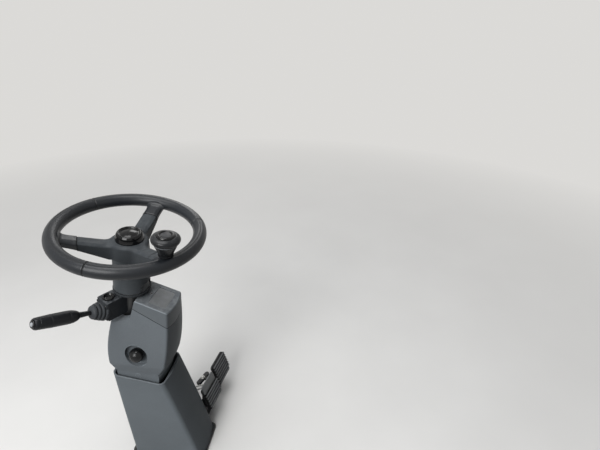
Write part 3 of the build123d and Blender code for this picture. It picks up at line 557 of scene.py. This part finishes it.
# Pads: this pale grey shows only on the ribs' upper edges, as painted highlight; the line marks paint the rest
# dark as shade.
pad_rubber = rubber("pad", (0.410, 0.416, 0.422), 0.60)
plated_steel = bright_metal("plated_steel", (0.80, 0.80, 0.79), 0.34)
plate_steel = painted("plate_steel", (0.420, 0.430, 0.435), 0.40)
shaft_steel = bright_metal("shaft_steel", (0.72, 0.72, 0.71), 0.26, stretch=(1, 1, 12))
black_paint = painted("black_paint", (0.120, 0.123, 0.128))
column_paint = painted("column_paint", (0.085, 0.088, 0.092), 0.4)


# The CAD nodes that stay as they are

for node_finish, node_names in (
        (black_paint, "base_plate post pedal_bracket pedal_lever_left pedal_lever_right"),
        (shaft_steel, "tilt_pin pedal_shaft steering_shaft"), (shroud_plastic, "lower_shroud"),
        (housing_plastic, "tilting_head"), (lid_plastic, "lid"), (panel_plastic, "lid_panel"),
        (column_paint, "column_sleeve"), (box_plastic, "switch_box"), (knob_plastic, "spinner_clamp")):
    for node_name in node_names.split():
        dress(node_name, node_finish)


# Wheel

SEAMS = np.radians([58.0, 177.0, 304.0])
ARMS = np.radians([0.5, 120.5, 240.5])
RIM_R, RING_R = 18.0, 182.0


def rim_ring():
    """Torus: a circle of 18 mm carried round the ring, drawn in by 1.4 mm in a bell-shaped groove at each seam
    with a slight swelling each side of it, a parting line 0.35 mm proud round its inner side, and a shallow
    bell-shaped valley for the fingers round its top."""
    near = np.array([0.3, 0.6, 1, 1.4, 1.9, 2.6, 3.6, 5, 7]) / RING_R
    near = np.concatenate([-near[::-1], [0], near])
    angle = np.unique(np.concatenate([circle(400), (SEAMS[:, None] + near).ravel()]))
    angle, turn = np.meshgrid(angle, circle(90), indexing="ij")
    away = np.stack([(angle - seam) * RING_R for seam in SEAMS])
    groove = 1.7 * bell(away, 1.3).sum(axis=0) - 0.3 * bell(away, 4.0).sum(axis=0)
    valley = bell((turn - 1.42) * RIM_R, 2.6)
    radius = RIM_R - groove + (0.35 * bell((turn - math.pi) * RIM_R, 0.9) - 0.85 * valley)
    points = around(RING_R + radius * np.cos(turn), angle, radius * np.sin(turn))
    seam = np.clip(1.4 * bell(away, 1.6), 0, 1).max(axis=0)
    # Dark joint lines at the seams, and painted shade along the finger valley.
    return band(points, True, np.maximum(seam, 0.45 * valley))


def rim_stub(arm):
    """Stub from an arm's end to the rim: a rounded section with a raised middle, which thins towards the rim
    and flares in a quarter circle where it meets the ring. Its inner end is rounded over, at the dark joint."""
    turn = circle(128)[None]
    t = np.concatenate([[0, 0.004, 0.012, 0.025, 0.045], np.linspace(0.075, 1, 56)])[:, None]
    joint, flare = 124.6, 10.0
    half = 22.6 - 1.6 * np.sin(math.pi * np.clip(t * 1.1, 0, 1)) + 1.0 * t
    tall, middle = 13.0 - 4.5 * t, -23.0 + 15.5 * t
    over = 2.6 * round_over(t / 0.045, 1)
    y = (half - over) * np.sign(np.cos(turn)) * np.abs(np.cos(turn)) ** 0.42
    z = (tall - over) * np.sign(np.sin(turn)) * np.abs(np.sin(turn)) ** 0.42
    side = np.clip((np.abs(y) - 9.5) / (half - 9.5), 0, 1)
    z = z - np.where(z > 0, 4.2 * side ** 1.3 * z / tall, 0)
    height = np.clip(middle + z, -16.0, 16.0)
    contact = np.sqrt((RING_R - np.sqrt(RIM_R ** 2 - height ** 2)) ** 2 - y ** 2)
    x = joint + (contact + 1.5 - joint) * t
    room = np.clip(17.0 - np.abs(middle + z), 1.5, flare)
    grow = 1 + round_over(contact - x, room) / (np.hypot(y, z) + 1e-6)
    dark = np.repeat(np.clip(1 - t / 0.035, 0, 1), turn.shape[1], axis=1)
    pole = np.ones_like(dark[:1])
    return band(capped(swung(joined(x, y * grow, middle + z * grow), arm)), False,
                np.concatenate([pole, dark, pole * 0]))


skin("rim_skin", COLUMN, "wheel", rim_foam,
     [rim_ring()] + [rim_stub(arm) for arm in ARMS], "wheel_rim")


ARM_HALF, ARM_END, WEB_R = 20.5, 125.0, 49.0


def star_side(lowest, count):
    """Side of an arm from the web out, its last point at an angle in degrees: a smooth power mean of a straight
    run and the web's circle, which rounds the corner between two arms."""
    slope = np.radians(np.linspace(60, lowest, count))
    radius = ((ARM_HALF / np.sin(slope)) ** 7 + WEB_R ** 7) ** (1 / 7)
    return joined(radius * np.cos(slope), radius * np.sin(slope))


def arm_outline():
    """Closed plan of the three arms: each one's two sides, at even steps, and its square end."""
    side = star_side(8, 1500)
    side = side[side[:, 0] < ARM_END]
    run = np.concatenate([[0], np.cumsum(np.hypot(*np.diff(side, axis=0).T))])
    even = np.linspace(0, run[-1], 90)
    side = joined(*(np.interp(even, run, line) for line in side.T))
    side[-1, 0] = ARM_END
    end = joined(ARM_END, np.linspace(side[-1, 1], -side[-1, 1], 24)[1:-1])
    arm = np.concatenate([side, end, side[::-1] * [1, -1]])[:-1]
    return np.concatenate([swung(arm, a) for a in ARMS[::-1]])


def side_distance(x, y):
    """Distance of each place from the nearest side of the star, its ends left out."""
    half = star_side(6, 500)
    arm = np.concatenate([half, half * [1, -1]])
    star = np.concatenate([swung(arm, a) for a in ARMS])
    found = [np.sqrt(((part[:, None] - star) ** 2).sum(axis=-1)).min(axis=1)
             for part in np.array_split(joined(x.ravel(), y.ravel()), 24)]
    return np.concatenate(found).reshape(x.shape)


def reach(x, y):
    """Distance out along the nearest arm."""
    return np.stack([x * math.cos(a) + y * math.sin(a) for a in ARMS]).max(axis=0)


def dish(r):
    """Height of the top at a radius: level under the cap, then falling, then rising to the arms' ends."""
    return np.interp(r, [0, 38, 44, 50, 58, 66, ARM_END], [-22.5, -22.5, -23.6, -25.4, -27.0, -26.3, -12.0])


def shoulder(edge):
    """How far the top falls away at a distance from its side."""
    return 4.6 * np.clip(1 - edge / 10.5, 0, 1) ** 1.15


def underside(r):
    """Height of the underside at a radius: level under the boss, then rising to the arms' ends."""
    return np.interp(r, [0, 58, ARM_END], [-68.0, -68.0, -34.0])


def hub_shell():
    """Hub and arms in one closed skin. The top is a dish with shoulders that fall away near the sides and a
    rounded edge; the walls widen by 3 degrees going down, and the underside closes them."""
    outline = arm_outline()
    out = outline / np.hypot(*outline.T)[:, None]
    boss = out * 12.0
    t = (1 - (1 - np.linspace(0, 1, 64)[1:]) ** 1.9)[:, None, None]
    plan = np.concatenate([boss[None] * 0, boss * (1 - t) + outline * t])
    x, y = plan[..., 0], plan[..., 1]
    r, edge = np.hypot(x, y), side_distance(x, y)
    end_round = 1.9 * np.clip((reach(x, y) - ARM_END + 2.4) / 2.4, 0, 1) ** 2
    top = dish(r) - shoulder(edge) * np.clip((r - 40) / 14, 0, 1) - round_over(edge, 2.2) - end_round
    normal = joined(np.gradient(outline[:, 1]), -np.gradient(outline[:, 0]))
    normal /= np.hypot(*normal.T)[:, None] + 1e-9
    normal *= np.sign((normal * out).sum(axis=1))[:, None]
    normal[side_distance(*outline.T) > 1.0] = 0
    draft = math.tan(math.radians(3))
    depth = (top[-1] - underside(r[-1])) * np.linspace(0, 1, 12)[1:, None]
    wall = outline + normal * (depth * draft)[..., None]
    under = wall[-1] * np.linspace(1, 0, 14)[1:, None, None]
    points = np.concatenate([
        joined(x, y, top), joined(wall[..., 0], wall[..., 1], top[-1] - depth),
        joined(under[..., 0], under[..., 1], underside(np.hypot(under[..., 0], under[..., 1])))])
    return band(points, False, np.clip((reach(points[..., 0], points[..., 1]) - ARM_END + 2.0) / 1.1, 0, 1))


skin("hub_skin", COLUMN, "wheel", hub_plastic, [hub_shell()], "wheel_hub", sharp=50)


def arm_seam():
    """Edge of the rim's moulding on the rear arm: a fine bead across the arm's top, bent towards the hub, that
    follows the dish and the shoulders."""
    y = np.linspace(-19.6, 19.6, 41)
    x = 106.5 - 3.0 * (1 - (y / 19.6) ** 2)
    z = dish(np.hypot(x, y)) - shoulder(ARM_HALF - np.abs(y)) + 0.15
    points, wrap, lines = rope(swung(joined(x, y, z), ARMS[2]), 0.75, 8)
    return band(points, wrap, lines + 1)


skin("arm_seam", COLUMN, "wheel", rim_foam, [arm_seam()])


def cap_profile():
    """Cap: a bulging wall that leans in to a rounded ring, a fine groove, and a plain dome inside it."""
    wall = rounded([(0, -29), (36.0, -29), (36.8, -22.5), (36.4, -14), (33.8, -6.2), (31.0, -2.2), (28.0, -1.0),
                    (25.4, -2.6), (24.2, -4.6), (22.8, -4.4)], [0, 0.8, 3.5, 6, 4, 3, 2.2, 1.4, 0.6, 0], 8)
    slope = np.linspace(22.8, 0, 30)[1:]
    return np.concatenate([wall, joined(slope, -4.4 + 5.0 * (1 - (slope / 22.8) ** 2))])


turned_skin("cap_skin", COLUMN, "wheel", cap_gloss, cap_profile(), 144, "hub_cap")


# Spinner knob

def knob_profile():
    """Mushroom grip: neck, cone, a shallow groove for the ring, then a round head and the cap's well."""
    lower = rounded([(0, 24), (17.6, 24), (18.6, 27), (27.4, 48.6), (28.2, 50.6), (28.4, 52.2), (27.2, 53.2)],
                    [0, 1.5, 3, 3, 0.8, 0.8, 0], 7)
    head = np.array([(27.6, 53.8), (30.6, 55.2), (33.2, 57.8), (34.8, 61.2), (35.2, 64.4), (34.6, 67.2),
                     (32.6, 69.8), (29.8, 71.6), (27.4, 72.7), (25.2, 73.4), (24.2, 73.6)])
    t = np.linspace(0, len(head) - 1, 44)
    smooth = joined(*(np.interp(t, np.arange(len(head)), line) for line in head.T))
    for _ in range(4):
        smooth[1:-1] = (smooth[:-2] + 2 * smooth[1:-1] + smooth[2:]) / 4
    well = rounded([(24.2, 73.6), (22.8, 73.7), (22.2, 73.0), (22.2, 71), (0, 71)], [0, 0.6, 0.5, 0.5, 0], 5)
    return np.concatenate([lower, smooth, well[1:]])


turned_skin("knob_skin", KNOB_LINE, "knob", knob_plastic, knob_profile(), 128, "spinner_grip")
turned_skin("knob_ring", KNOB_LINE, "knob", ring_plastic, rounded(
    [(24, 52.0), (28.7, 52.0), (29.3, 52.9), (28.7, 53.8), (24, 53.8), (24, 52.0)],
    [0, 0.4, 0.5, 0.4, 0, 0], 4), 128)


def knob_cap_profile():
    """Glossy disc: a broad raised ring with a rounded crest round a flat middle, sunk a little."""
    return rounded([(0, 71), (21.9, 71), (21.9, 74.2), (20.0, 77.4), (16.2, 77.8), (14.2, 76.0), (12.6, 75.2),
                    (6, 75.0), (0, 75.0)], [0, 0.4, 2.4, 3.0, 2.0, 1.2, 1.0, 3, 0], 9)


turned_skin("knob_cap_skin", KNOB_LINE, "knob", button_gloss, knob_cap_profile(), 128,
            "spinner_cap")
turned_skin("knob_cap_disc", KNOB_LINE, "knob", grip_plastic, rounded(
    [(0, 74.6), (12.5, 74.6), (12.5, 75.5), (11.6, 75.8), (0, 76.0)], [0, 0.1, 0.3, 0.6, 0], 5), 96)


# Boot, bellows, stalk

BOOT_LOW, BOOT_TOP, BOOT_BORE, RIDGE = -181.5, -136.5, 27.15, 9.0


def boot_profile():
    """Five round ridges on the sleeve: each a raised half wave, deeper on its lower side, and a little wider
    than the one above it."""
    height = np.linspace(BOOT_LOW, BOOT_TOP, 170)
    part = (height - BOOT_LOW) / RIDGE % 1.0
    radius = 39.8 - 0.03 * (height - BOOT_LOW) + 5.4 * np.sin(math.pi * part ** 0.75) ** 0.7
    inner = [(BOOT_BORE, BOOT_LOW), (BOOT_BORE, BOOT_TOP)]
    return np.concatenate([inner[:1], joined(radius, height), inner[::-1]])


def boot_skin():
    """The boot's surface, with its folds marked dark as painted shade."""
    points, wrap, _ = lathe(boot_profile(), 144)
    part = (points[..., 2] - BOOT_LOW) / RIDGE % 1.0
    return band(points, wrap, np.clip(1 - np.minimum(part, 1 - part) / 0.16, 0, 1))


skin("boot_skin", COLUMN, "column", boot_rubber, [boot_skin()], "ridged_boot")


WINDOW = -90.0


def collar_skin():
    """Collar: a cone 4 mm thick whose lower edge lifts to 149 mm below the wheel in front of the window, with a
    rounded edge below and above."""
    angle = circle(240)
    away = np.abs((np.degrees(angle) - WINDOW + 180) % 360 - 180)
    lift = np.clip((37 - away) / 5, 0, 1)
    low = -173.0 + 24.0 * lift ** 2 * (3 - 2 * lift)
    t = np.linspace(0, 1, 28)[:, None]
    top, thick, bevel = -70.0, 4.0, 0.8
    height = top - bevel + (low - top + bevel) * t
    a = np.radians(np.linspace(10, 170, 9))[:, None]
    height = np.concatenate([height, low - 1.6 * np.sin(a), height[::-1], np.full((2, 240), top)])
    inward = np.concatenate([0 * t, (np.cos(a) - 1) * thick / 2, 0 * t - thick, [[bevel - thick], [-bevel]]])
    return band(around(47.0 + (top - height) / 113.5 * 3.5 + inward, angle, height), True)


skin("collar_skin", COLUMN, "column", collar_plastic, [collar_skin()], "collar")


def collar_foot():
    """Ring under the collar and its window: a rounded rectangle turned round the line."""
    return lathe(round_rectangle(4.6, 6.4, 1.6, 5) + [49.4, -180.2], 144, True)


def collar_bridge(degrees):
    """Small post beside the window that ties the ring to the collar."""
    a = math.radians(degrees)
    return rope([(48 * math.cos(a), 48 * math.sin(a), z) for z in (-169, -174, -179)], 1.9, 12)


skin("collar_foot", COLUMN, "column", foot_plastic,
     [collar_foot()] + [collar_bridge(WINDOW + step) for step in (-150, -105, -60, -40, 40, 60, 105, 150)])


def folds(grid, heights, half):
    """The grid with painted shade: dark lines at some heights, fading out over half a width."""
    points, wrap, _ = grid
    away = np.abs(points[..., 2:] - np.array(heights)).min(axis=-1)
    return band(points, wrap, np.clip(1.15 - away / half, 0, 1))


def bellows_profile():
    """Four cups that nest: each swells to a round lip and tucks under into the next; the last is a dome that
    closes on the rod."""
    out = [np.array([(5.2, -7.5), (25.4, -7.5), (26.4, -1.0)])]
    height = -1.0
    cups = ((27.6, 9.6), (25.2, 9.4), (22.2, 9.0), (18.6, 9.0))
    for k, (radius, length) in enumerate(cups):
        swell = np.linspace(0, 1, 10)
        lip = joined(radius + 0.8 * np.sin(math.pi * swell), height + length * 0.62 * swell)
        a = np.radians(np.linspace(0, 100, 8))
        out += [lip, joined(radius - 1.5 + 1.5 * np.cos(a), height + length * 0.62 + 1.5 * np.sin(a))]
        height += length
        if k < 3:
            out.append(np.array([(cups[k + 1][0] - 2.4, height - 0.9), (cups[k + 1][0] - 1.6, height - 0.2)]))
    a = np.radians(np.linspace(20, 86, 10))
    out.append(joined(5.6 + 10.2 * np.cos(a), height - 2.6 + 4.6 * np.sin(a)))
    out.append(np.array([(6.4, height + 4.2), (5.2, height + 4.4), (5.2, -7.5)]))
    return np.concatenate(out)


skin("bellows_skin", STALK, "column", bellows_rubber,
     [folds(lathe(bellows_profile(), 96), [8.8, 18.2, 27.2], 1.9)], "stalk_bellows")

BOX_FACE = turned_about(moved(BOX, 0, 24, -32), 1, -90)
skin("bellows_flange", BOX_FACE, "column", foot_plastic,
     [slab(round_rectangle(55, 45, 5), -1.0, 1.8, 0.7)])


def box_screw(x, y):
    """Screw in the flange: a low turned head with a six-sided well."""
    points = six_sided([(0, 1.2, 0), (2.6, 1.2, 0), (2.6, 2.6, 0), (2.0, 3.1, 0), (1.25, 3.2, 1), (1.2, 2.4, 1),
                        (0, 2.4, 1)], 36)[0]
    return band(points + [x, y, 0])


skin("box_screws", BOX_FACE, "column", column_paint,
     [box_screw(x, y) for x in (-23.5, 23.5) for y in (-18.5, 18.5)])


def rod_profile():
    """Bare rod of the stalk: widest at the grip, drawn in a little towards the bellows."""
    t = np.linspace(0, 1, 24)
    rod = joined(5.9 + 2.3 * t ** 1.5 + 0.4 * bell(t - 0.12, 0.03), 20 + 52 * t)
    return np.concatenate([[[0, 20]], rod, [[0, 72]]])


turned_skin("rod_skin", STALK, "column", grip_plastic, rod_profile(), 48, "stalk_rod")


def grip_profile():
    """Turned grip: a slim neck, a swelling, three fine seams, a slow taper and a rounded end with a well."""
    start = 70.0
    steps = [(0, 0), (0, 5.0), (0, 8.2), (0.5, 9.0), (7, 13.4), (17, 16.4), (29, 17.5), (29.6, 16.7),
             (30.4, 16.7), (31, 17.6), (77.4, 17.1), (78, 16.4), (78.8, 16.4), (79.4, 16.9), (104.6, 15.7),
             (105.2, 14.9), (106, 14.9), (106.6, 15.5), (113, 15.3), (117, 13.0), (117, 10.7), (111, 10.7),
             (111, 0)]
    seam = [0.6, 0.3, 0.3, 0.6]
    return rounded([(r, start + along) for along, r in steps],
                   [0, 0, 0.4, 3, 4, 4] + 3 * seam + [2.4, 1.6, 0.8, 0.4, 0], 6)


turned_skin("stalk_grip_skin", STALK, "column", grip_plastic, grip_profile(), 96, "stalk_grip")


def end_button_profile():
    """End button: a rounded edge and a shallow dished middle with a small nub."""
    return rounded([(0, 181), (10.5, 181), (10.5, 188.6), (9.0, 190.6), (7.4, 190.4), (6.6, 189.6), (0, 189.6)],
                   [0, 0.3, 1.6, 1.4, 0.8, 0.5, 0], 6)


turned_skin("end_button_skin", STALK, "column", button_gloss, end_button_profile(), 64,
            "stalk_button")
# Painted reflection: the middle's pale grey stands for light reflected in the end button.
turned_skin("button_middle", STALK, "column", button_plastic, rounded(
    [(0, 189.4), (5.6, 189.4), (5.6, 191.2), (4.4, 192), (0, 192.4)], [0, 0.2, 1.2, 2, 0], 6), 48)


def top_button_profile():
    """Push button: an upright side, a rounded crest and a finger dish whose sloping wall takes the light."""
    return rounded([(0, -1), (15, -1), (15, 3.6), (14.2, 5), (12.9, 4.9), (9.2, 0.9), (4, 0.5), (0, 0.5)],
                   [0, 0.2, 0.8, 0.8, 0.7, 1.2, 3, 0], 8)


turned_skin("top_button_skin", moved(BOX, 20, 24, 0), "column", button_gloss,
            top_button_profile(), 96, "box_button")


def ball_profile():
    """Ball on a stem with a foot flange: the ball's circle is cut flat at the stem."""
    a = np.radians(np.linspace(-68, 90, 48))
    ball = joined(21.9 * np.cos(a), 20 + 21.9 * np.sin(a))
    ball[-1, 0] = 0
    foot = rounded([(0, -0.5), (12, -0.5), (12, 1.4), (7.6, 1.6), (7.6, 2.0)], [0, 0.2, 0.8, 0.4, 0], 4)
    return np.concatenate([foot, ball])


turned_skin("ball_skin", BALL_LINE, "head", ball_gloss, ball_profile(), 96, "tilt_knob")


def recess_liner():
    """Shallow cup in the housing's grey that lines the recess: ovals that shrink towards its floor, then the
    floor itself."""
    t = np.linspace(0, 1, 30)
    share = np.where(t < 0.6, 1.0, np.sqrt(np.clip(1 - ((t - 0.6) / 0.42) ** 2, 0, 1)))
    depth = np.interp(t, [0, 0.6, 0.8, 1.0], [22.6, 13.0, 8.4, 7.6])
    share = np.concatenate([share, [0.3, 0.0]])[:, None]
    depth = np.concatenate([depth, [7.6, 7.6]])[:, None]
    angle = circle(96)
    inner = joined(39.6 * share * np.cos(angle), 34.6 * share * np.sin(angle), depth)
    outer = inner[::-1] * [1.006, 1.006, 1] - [0, 0, 0.3]
    return band(np.concatenate([inner, outer]), True)


skin("recess_liner", BALL_LINE, "head", liner_plastic, [recess_liner()])

# Plugs over the ends of the tilt pin, flush with the drum's sides

for plug_name, plug_x, plug_turn in (("pin_plug_left", -60.0, -90), ("pin_plug_right", 60.0, 90)):
    turned_skin(plug_name, turned_about(moved(MACHINE, plug_x, 44, 368), 1, plug_turn), "head", housing_plastic,
                rounded([(0, -1.8), (8.9, -1.8), (8.9, 0.0), (7.9, 0.35), (0, 0.5)],
                                        [0, 0.1, 0.3, 0.8, 0], 5), 64)

skin("lid_screw", moved(LID, 0, 34, 0), "head", column_paint, [six_sided([
    (0, -3.0, 0), (3.5, -3.0, 0), (3.6, 0.1, 0), (3.1, 0.3, 0), (2.7, 0.0, 0), (2.5, -1.2, 0), (1.2, -1.4, 1),
    (1.15, -2.4, 1), (0, -2.4, 1)], 48)])


def mouth_path():
    """Middle of the shroud's wall round its mouth: a rounded rectangle bowed at front and rear by a parabola,
    lifted to a circle's arc in the side view, and shifted with the wall's slope."""
    half, middle, bow = 67.2, 44.2, 9.6
    x, y = (round_rectangle(2 * half, 150.6, 13.0, 12) + [0, middle]).T
    bow = bow * (1 - (x / half) ** 2)
    y = np.where(y > middle, y + bow, y - bow)
    rear, between, front = np.array([(-60.0, 350.0), (50.0, 355.0), (150.0, 381.0)])
    squares = [(point ** 2).sum() - (rear ** 2).sum() for point in (between, front)]
    centre = np.linalg.solve([between - rear, front - rear], np.array(squares) / 2)
    height = centre[1] - np.sqrt(math.hypot(*(rear - centre)) ** 2 - (y - centre[0]) ** 2)
    slope = np.interp(y, [-20, 90], [0.25, 0.017])
    return joined(x, y + (height - 360) * slope, height - 1.6)


skin("shroud_lip", MACHINE, "pedestal", lip_plastic, [rope(mouth_path(), 2.6, 16, True)])


def ear_weld(x):
    """Weld bead along an ear's foot: a round bar whose radius ripples along it as a raised sine."""
    run = np.linspace(0, 27, 54)
    return rope(joined(x, run - 83.5, 8.6), 2.0 * (1 + 0.14 * np.abs(np.sin(math.pi * run / 2.4))), 10)


skin("ear_welds", MACHINE, "pedestal", black_paint,
     [ear_weld(x) for x in (81.0, 89.0, 267.0, 275.0)])


def shaft_ring(x):
    """Snap ring on the pedal shaft: a rounded rectangle turned round the shaft's line."""
    points = lathe(round_rectangle(3.4, 1.6, 0.6, 4) + [9.2, 0], 64)[0]
    return band(points[..., [2, 0, 1]] + [x, -70, 34], True)


skin("shaft_rings", MACHINE, "pedestal", shaft_steel, [shaft_ring(79.6), shaft_ring(276.4)])


# Pedal pads

LEFT_X, RIGHT_X = 124.0, 232.0
PAD_HALF, RIB_PITCH, RIB_TOP, RIB_DEPTH = 45, 88 / 7, 12, 3.6


def pad_shell(height, cut_top):
    """Ribbed pad as a tube of level sections going up the pad. Its half width follows the outline's rounded
    corners; the front is a row of rounded ribs, as a flattened cosine of the distance up the pad. Each rib's
    upper edge is left pale as a painted highlight, and the rest is marked dark as painted shade."""
    near = np.array([0.4, 0.9, 1.6])
    up = np.unique(np.concatenate([np.linspace(0, height, 260), near, height - near]))[:, None]
    top = 0 * up if cut_top else round_over(height - up, 8)
    right, left = PAD_HALF - round_over(up, 26) - top, top - PAD_HALF
    flat, end_r = 2.2, 1.6
    rib = RIB_TOP - RIB_DEPTH * (0.5 + 0.5 * np.tanh(np.cos(TAU * up / RIB_PITCH) * flat) / math.tanh(flat))
    soft = np.clip(np.minimum(up, height - up), 0, end_r)
    front = np.where(soft < end_r, np.minimum(rib, 9.6 + soft), rib)
    across = np.linspace(-1, 1, 40)
    brow = round_over(PAD_HALF * (1 - np.abs(across)), 1.4)
    face = joined((left + right) / 2 + across * ((right - left) / 2), up, front - brow)
    loop = np.concatenate([face, face[:, ::-13] * [1, 1, 0]], axis=1) + [0, 0, 4]
    # Painted highlight on each rib's upper edge; the rest of the pad is marked dark as painted shade.
    pale = bell(up / RIB_PITCH % 1.0 - 0.70, 0.16)
    dark = np.repeat(0.92 - 0.92 * np.clip(1.25 * pale, 0, 1), loop.shape[1], axis=1)
    dark[:, 39:] = 1
    dark[:, 0] = 1
    ends = np.ones_like(dark[:1])
    return band(capped(loop), False, np.concatenate([ends, dark, ends]))


for side, pad_x, pad_height in (("left", LEFT_X, 60.0), ("right", RIGHT_X, 88.0)):
    skin(f"pad_skin_{side}", pad_place(pad_x), f"{side}_pedal", pad_rubber,
         [pad_shell(pad_height, side == "left")], f"pedal_pad_{side}")

# Latch on the left pedal

LEFT_PAD = pad_place(LEFT_X)
BAR_LEAN = 15
BAR_UP = turned_about(turned_about(moved(LEFT_PAD, 18, 83, -24), 1, -BAR_LEAN), 0, -90)


def bar_foot():
    """Block between the latch's bar and the back plate: a rounded rectangle carried from one to the other."""
    across, along = round_rectangle(12, 6, 1.4, 5).T
    run = np.linspace(0, 24, 6)[:, None]
    c, s = math.cos(math.radians(BAR_LEAN)), math.sin(math.radians(BAR_LEAN))
    return band(capped(joined(across * c + run * s, across * s - run * c, along)))


skin("latch_plate", moved(LEFT_PAD, 0, 80, 0), "left_pedal", plate_steel,
     [slab(round_rectangle(80, 36, 5.5), 4.0, 9.0, 1.2)], "pedal_latch")
skin("latch_bar", BAR_UP, "left_pedal", black_paint,
     [slab(round_rectangle(60, 19, 9.4, 14), -4.0, 5.0, 1.6), bar_foot()], "latch_arm")
turned_skin("latch_pin_head", BAR_UP, "left_pedal", plated_steel, rounded(
    [(0, 4.5), (7.8, 4.5), (7.8, 5.8), (6.4, 6.2), (6.4, 9.6), (4.8, 11.0), (0, 11.0)],
    [0, 0.1, 0.5, 0.3, 1.4, 1.6, 0], 5), 48, "latch_pin")


def loop_path():
    """Wire loop behind the latch plate's inner end: two parallel legs joined by a half circle."""
    a = np.radians(np.linspace(0, 180, 16))
    bend = joined(-7.5 * np.cos(a), 0, -26 - 7.5 * np.sin(a))
    return np.concatenate([[[-7.5, 0, z] for z in (4.5, -8, -18)], bend, [[7.5, 0, z] for z in (-18, -8, 4.5)]])


LOOP = turned_about(moved(LEFT_PAD, -26, 91.5, 0), 1, 18)
skin("latch_loop", LOOP, "left_pedal", plated_steel, [rope(loop_path(), 2.7, 16)])


# Floor, light and camera

BACKDROP = shade(0.86, 0.855, 0.845)


def floor_finish():
    """Pale, faintly mottled floor that fades to the backdrop's colour far from the object, for the camera and
    for mirrors."""
    f = Finish("pale_floor", 0.9, specular=0.2)
    mottle = f.noise(0.25, detail=4.0)
    colour = f.mix(f.spread(mottle, 0.3, 0.7), shade(0.83, 0.825, 0.815), shade(0.85, 0.845, 0.835))
    far = f.spread(f.add("ShaderNodeVectorMath", {0: f.spot}, operation="LENGTH").outputs["Value"], 1.0, 3.6)
    seen = f.seen()
    f.done(f.mix(seen, shade(0.29, 0.287, 0.284), colour))
    glow = f.add("ShaderNodeEmission", {"Color": BACKDROP, "Strength": 1.0})
    blend = f.add("ShaderNodeMixShader", {0: f.times(far, seen), 1: f.shader.outputs[0], 2: glow.outputs[0]})
    f.tree.links.new(blend.outputs[0], f.tree.nodes["Material Output"].inputs["Surface"])
    return f.material


def floor_sheet():
    """Round sheet: rings that widen with the square of their number, level throughout."""
    return around(24.0 * np.linspace(0, 1, 40)[:, None] ** 2, circle(96), -0.0006)


floor_mesh = grid_mesh("floor_sheet", floor_sheet(), flip=True)
floor_mesh.materials.append(floor_finish())
shown("floor_sheet", floor_mesh)


def soft_world():
    """Soft sky, brighter high up towards the front, and a plain pale backdrop where it is seen."""
    world = bpy.data.worlds.new("soft_sky")
    bpy.context.scene.world = world
    world.use_nodes = True
    world.node_tree.nodes.clear()
    w = Nodes(world.node_tree)
    toward = w.dot(w.add("ShaderNodeTexCoord").outputs["Generated"], (-0.48, 0.80, 0.36))
    level = w.spread(toward, -0.10, 0.95, 0.03, 0.85)
    sky = w.add("ShaderNodeBackground", {"Color": (0.93, 0.96, 1.0, 1), "Strength": level})
    back = w.add("ShaderNodeBackground", {"Color": BACKDROP, "Strength": 1.0})
    blend = w.add("ShaderNodeMixShader", {0: w.seen(), 1: sky.outputs[0], 2: back.outputs[0]})
    w.add("ShaderNodeOutputWorld", {"Surface": blend.outputs[0]})


soft_world()


def aimed(name, data, place, look):
    """A lamp or camera at a place, looking along a direction."""
    thing = shown(name, data)
    thing.location = place
    thing.rotation_euler = look.to_track_quat("-Z", "Y").to_euler()
    return thing


def lamp(name, place, aim, size, power):
    """A square soft lamp that looks at a point."""
    data = bpy.data.lights.new(name, "AREA")
    data.energy, data.size, data.shape = power, size, "SQUARE"
    aimed(name, data, place, Vector(aim) - Vector(place))


lamp("roof_light", (-0.1, 0.25, 3.3), (0.0, 0.0, 0.5), 1.5, 42.0)
lamp("side_light", (-2.4, 0.55, 2.5), (0.0, 0.0, 0.5), 1.7, 90.0)
lamp("far_light", (2.6, 0.5, 2.3), (0.0, 0.0, 0.7), 0.9, 11.0)

camera = bpy.data.cameras.new("photo_camera")
camera.lens, camera.sensor_width = 25.98, 36.0
heading, pitch = math.radians(8.0), math.radians(28.3)
look = Vector((math.cos(heading) * math.cos(pitch), math.sin(heading) * math.cos(pitch), -math.sin(pitch)))
bpy.context.scene.camera = aimed("photo_camera", camera, (-0.9255, -0.5752, 1.3963), look)
bpy.context.scene.view_settings.view_transform = "Standard"
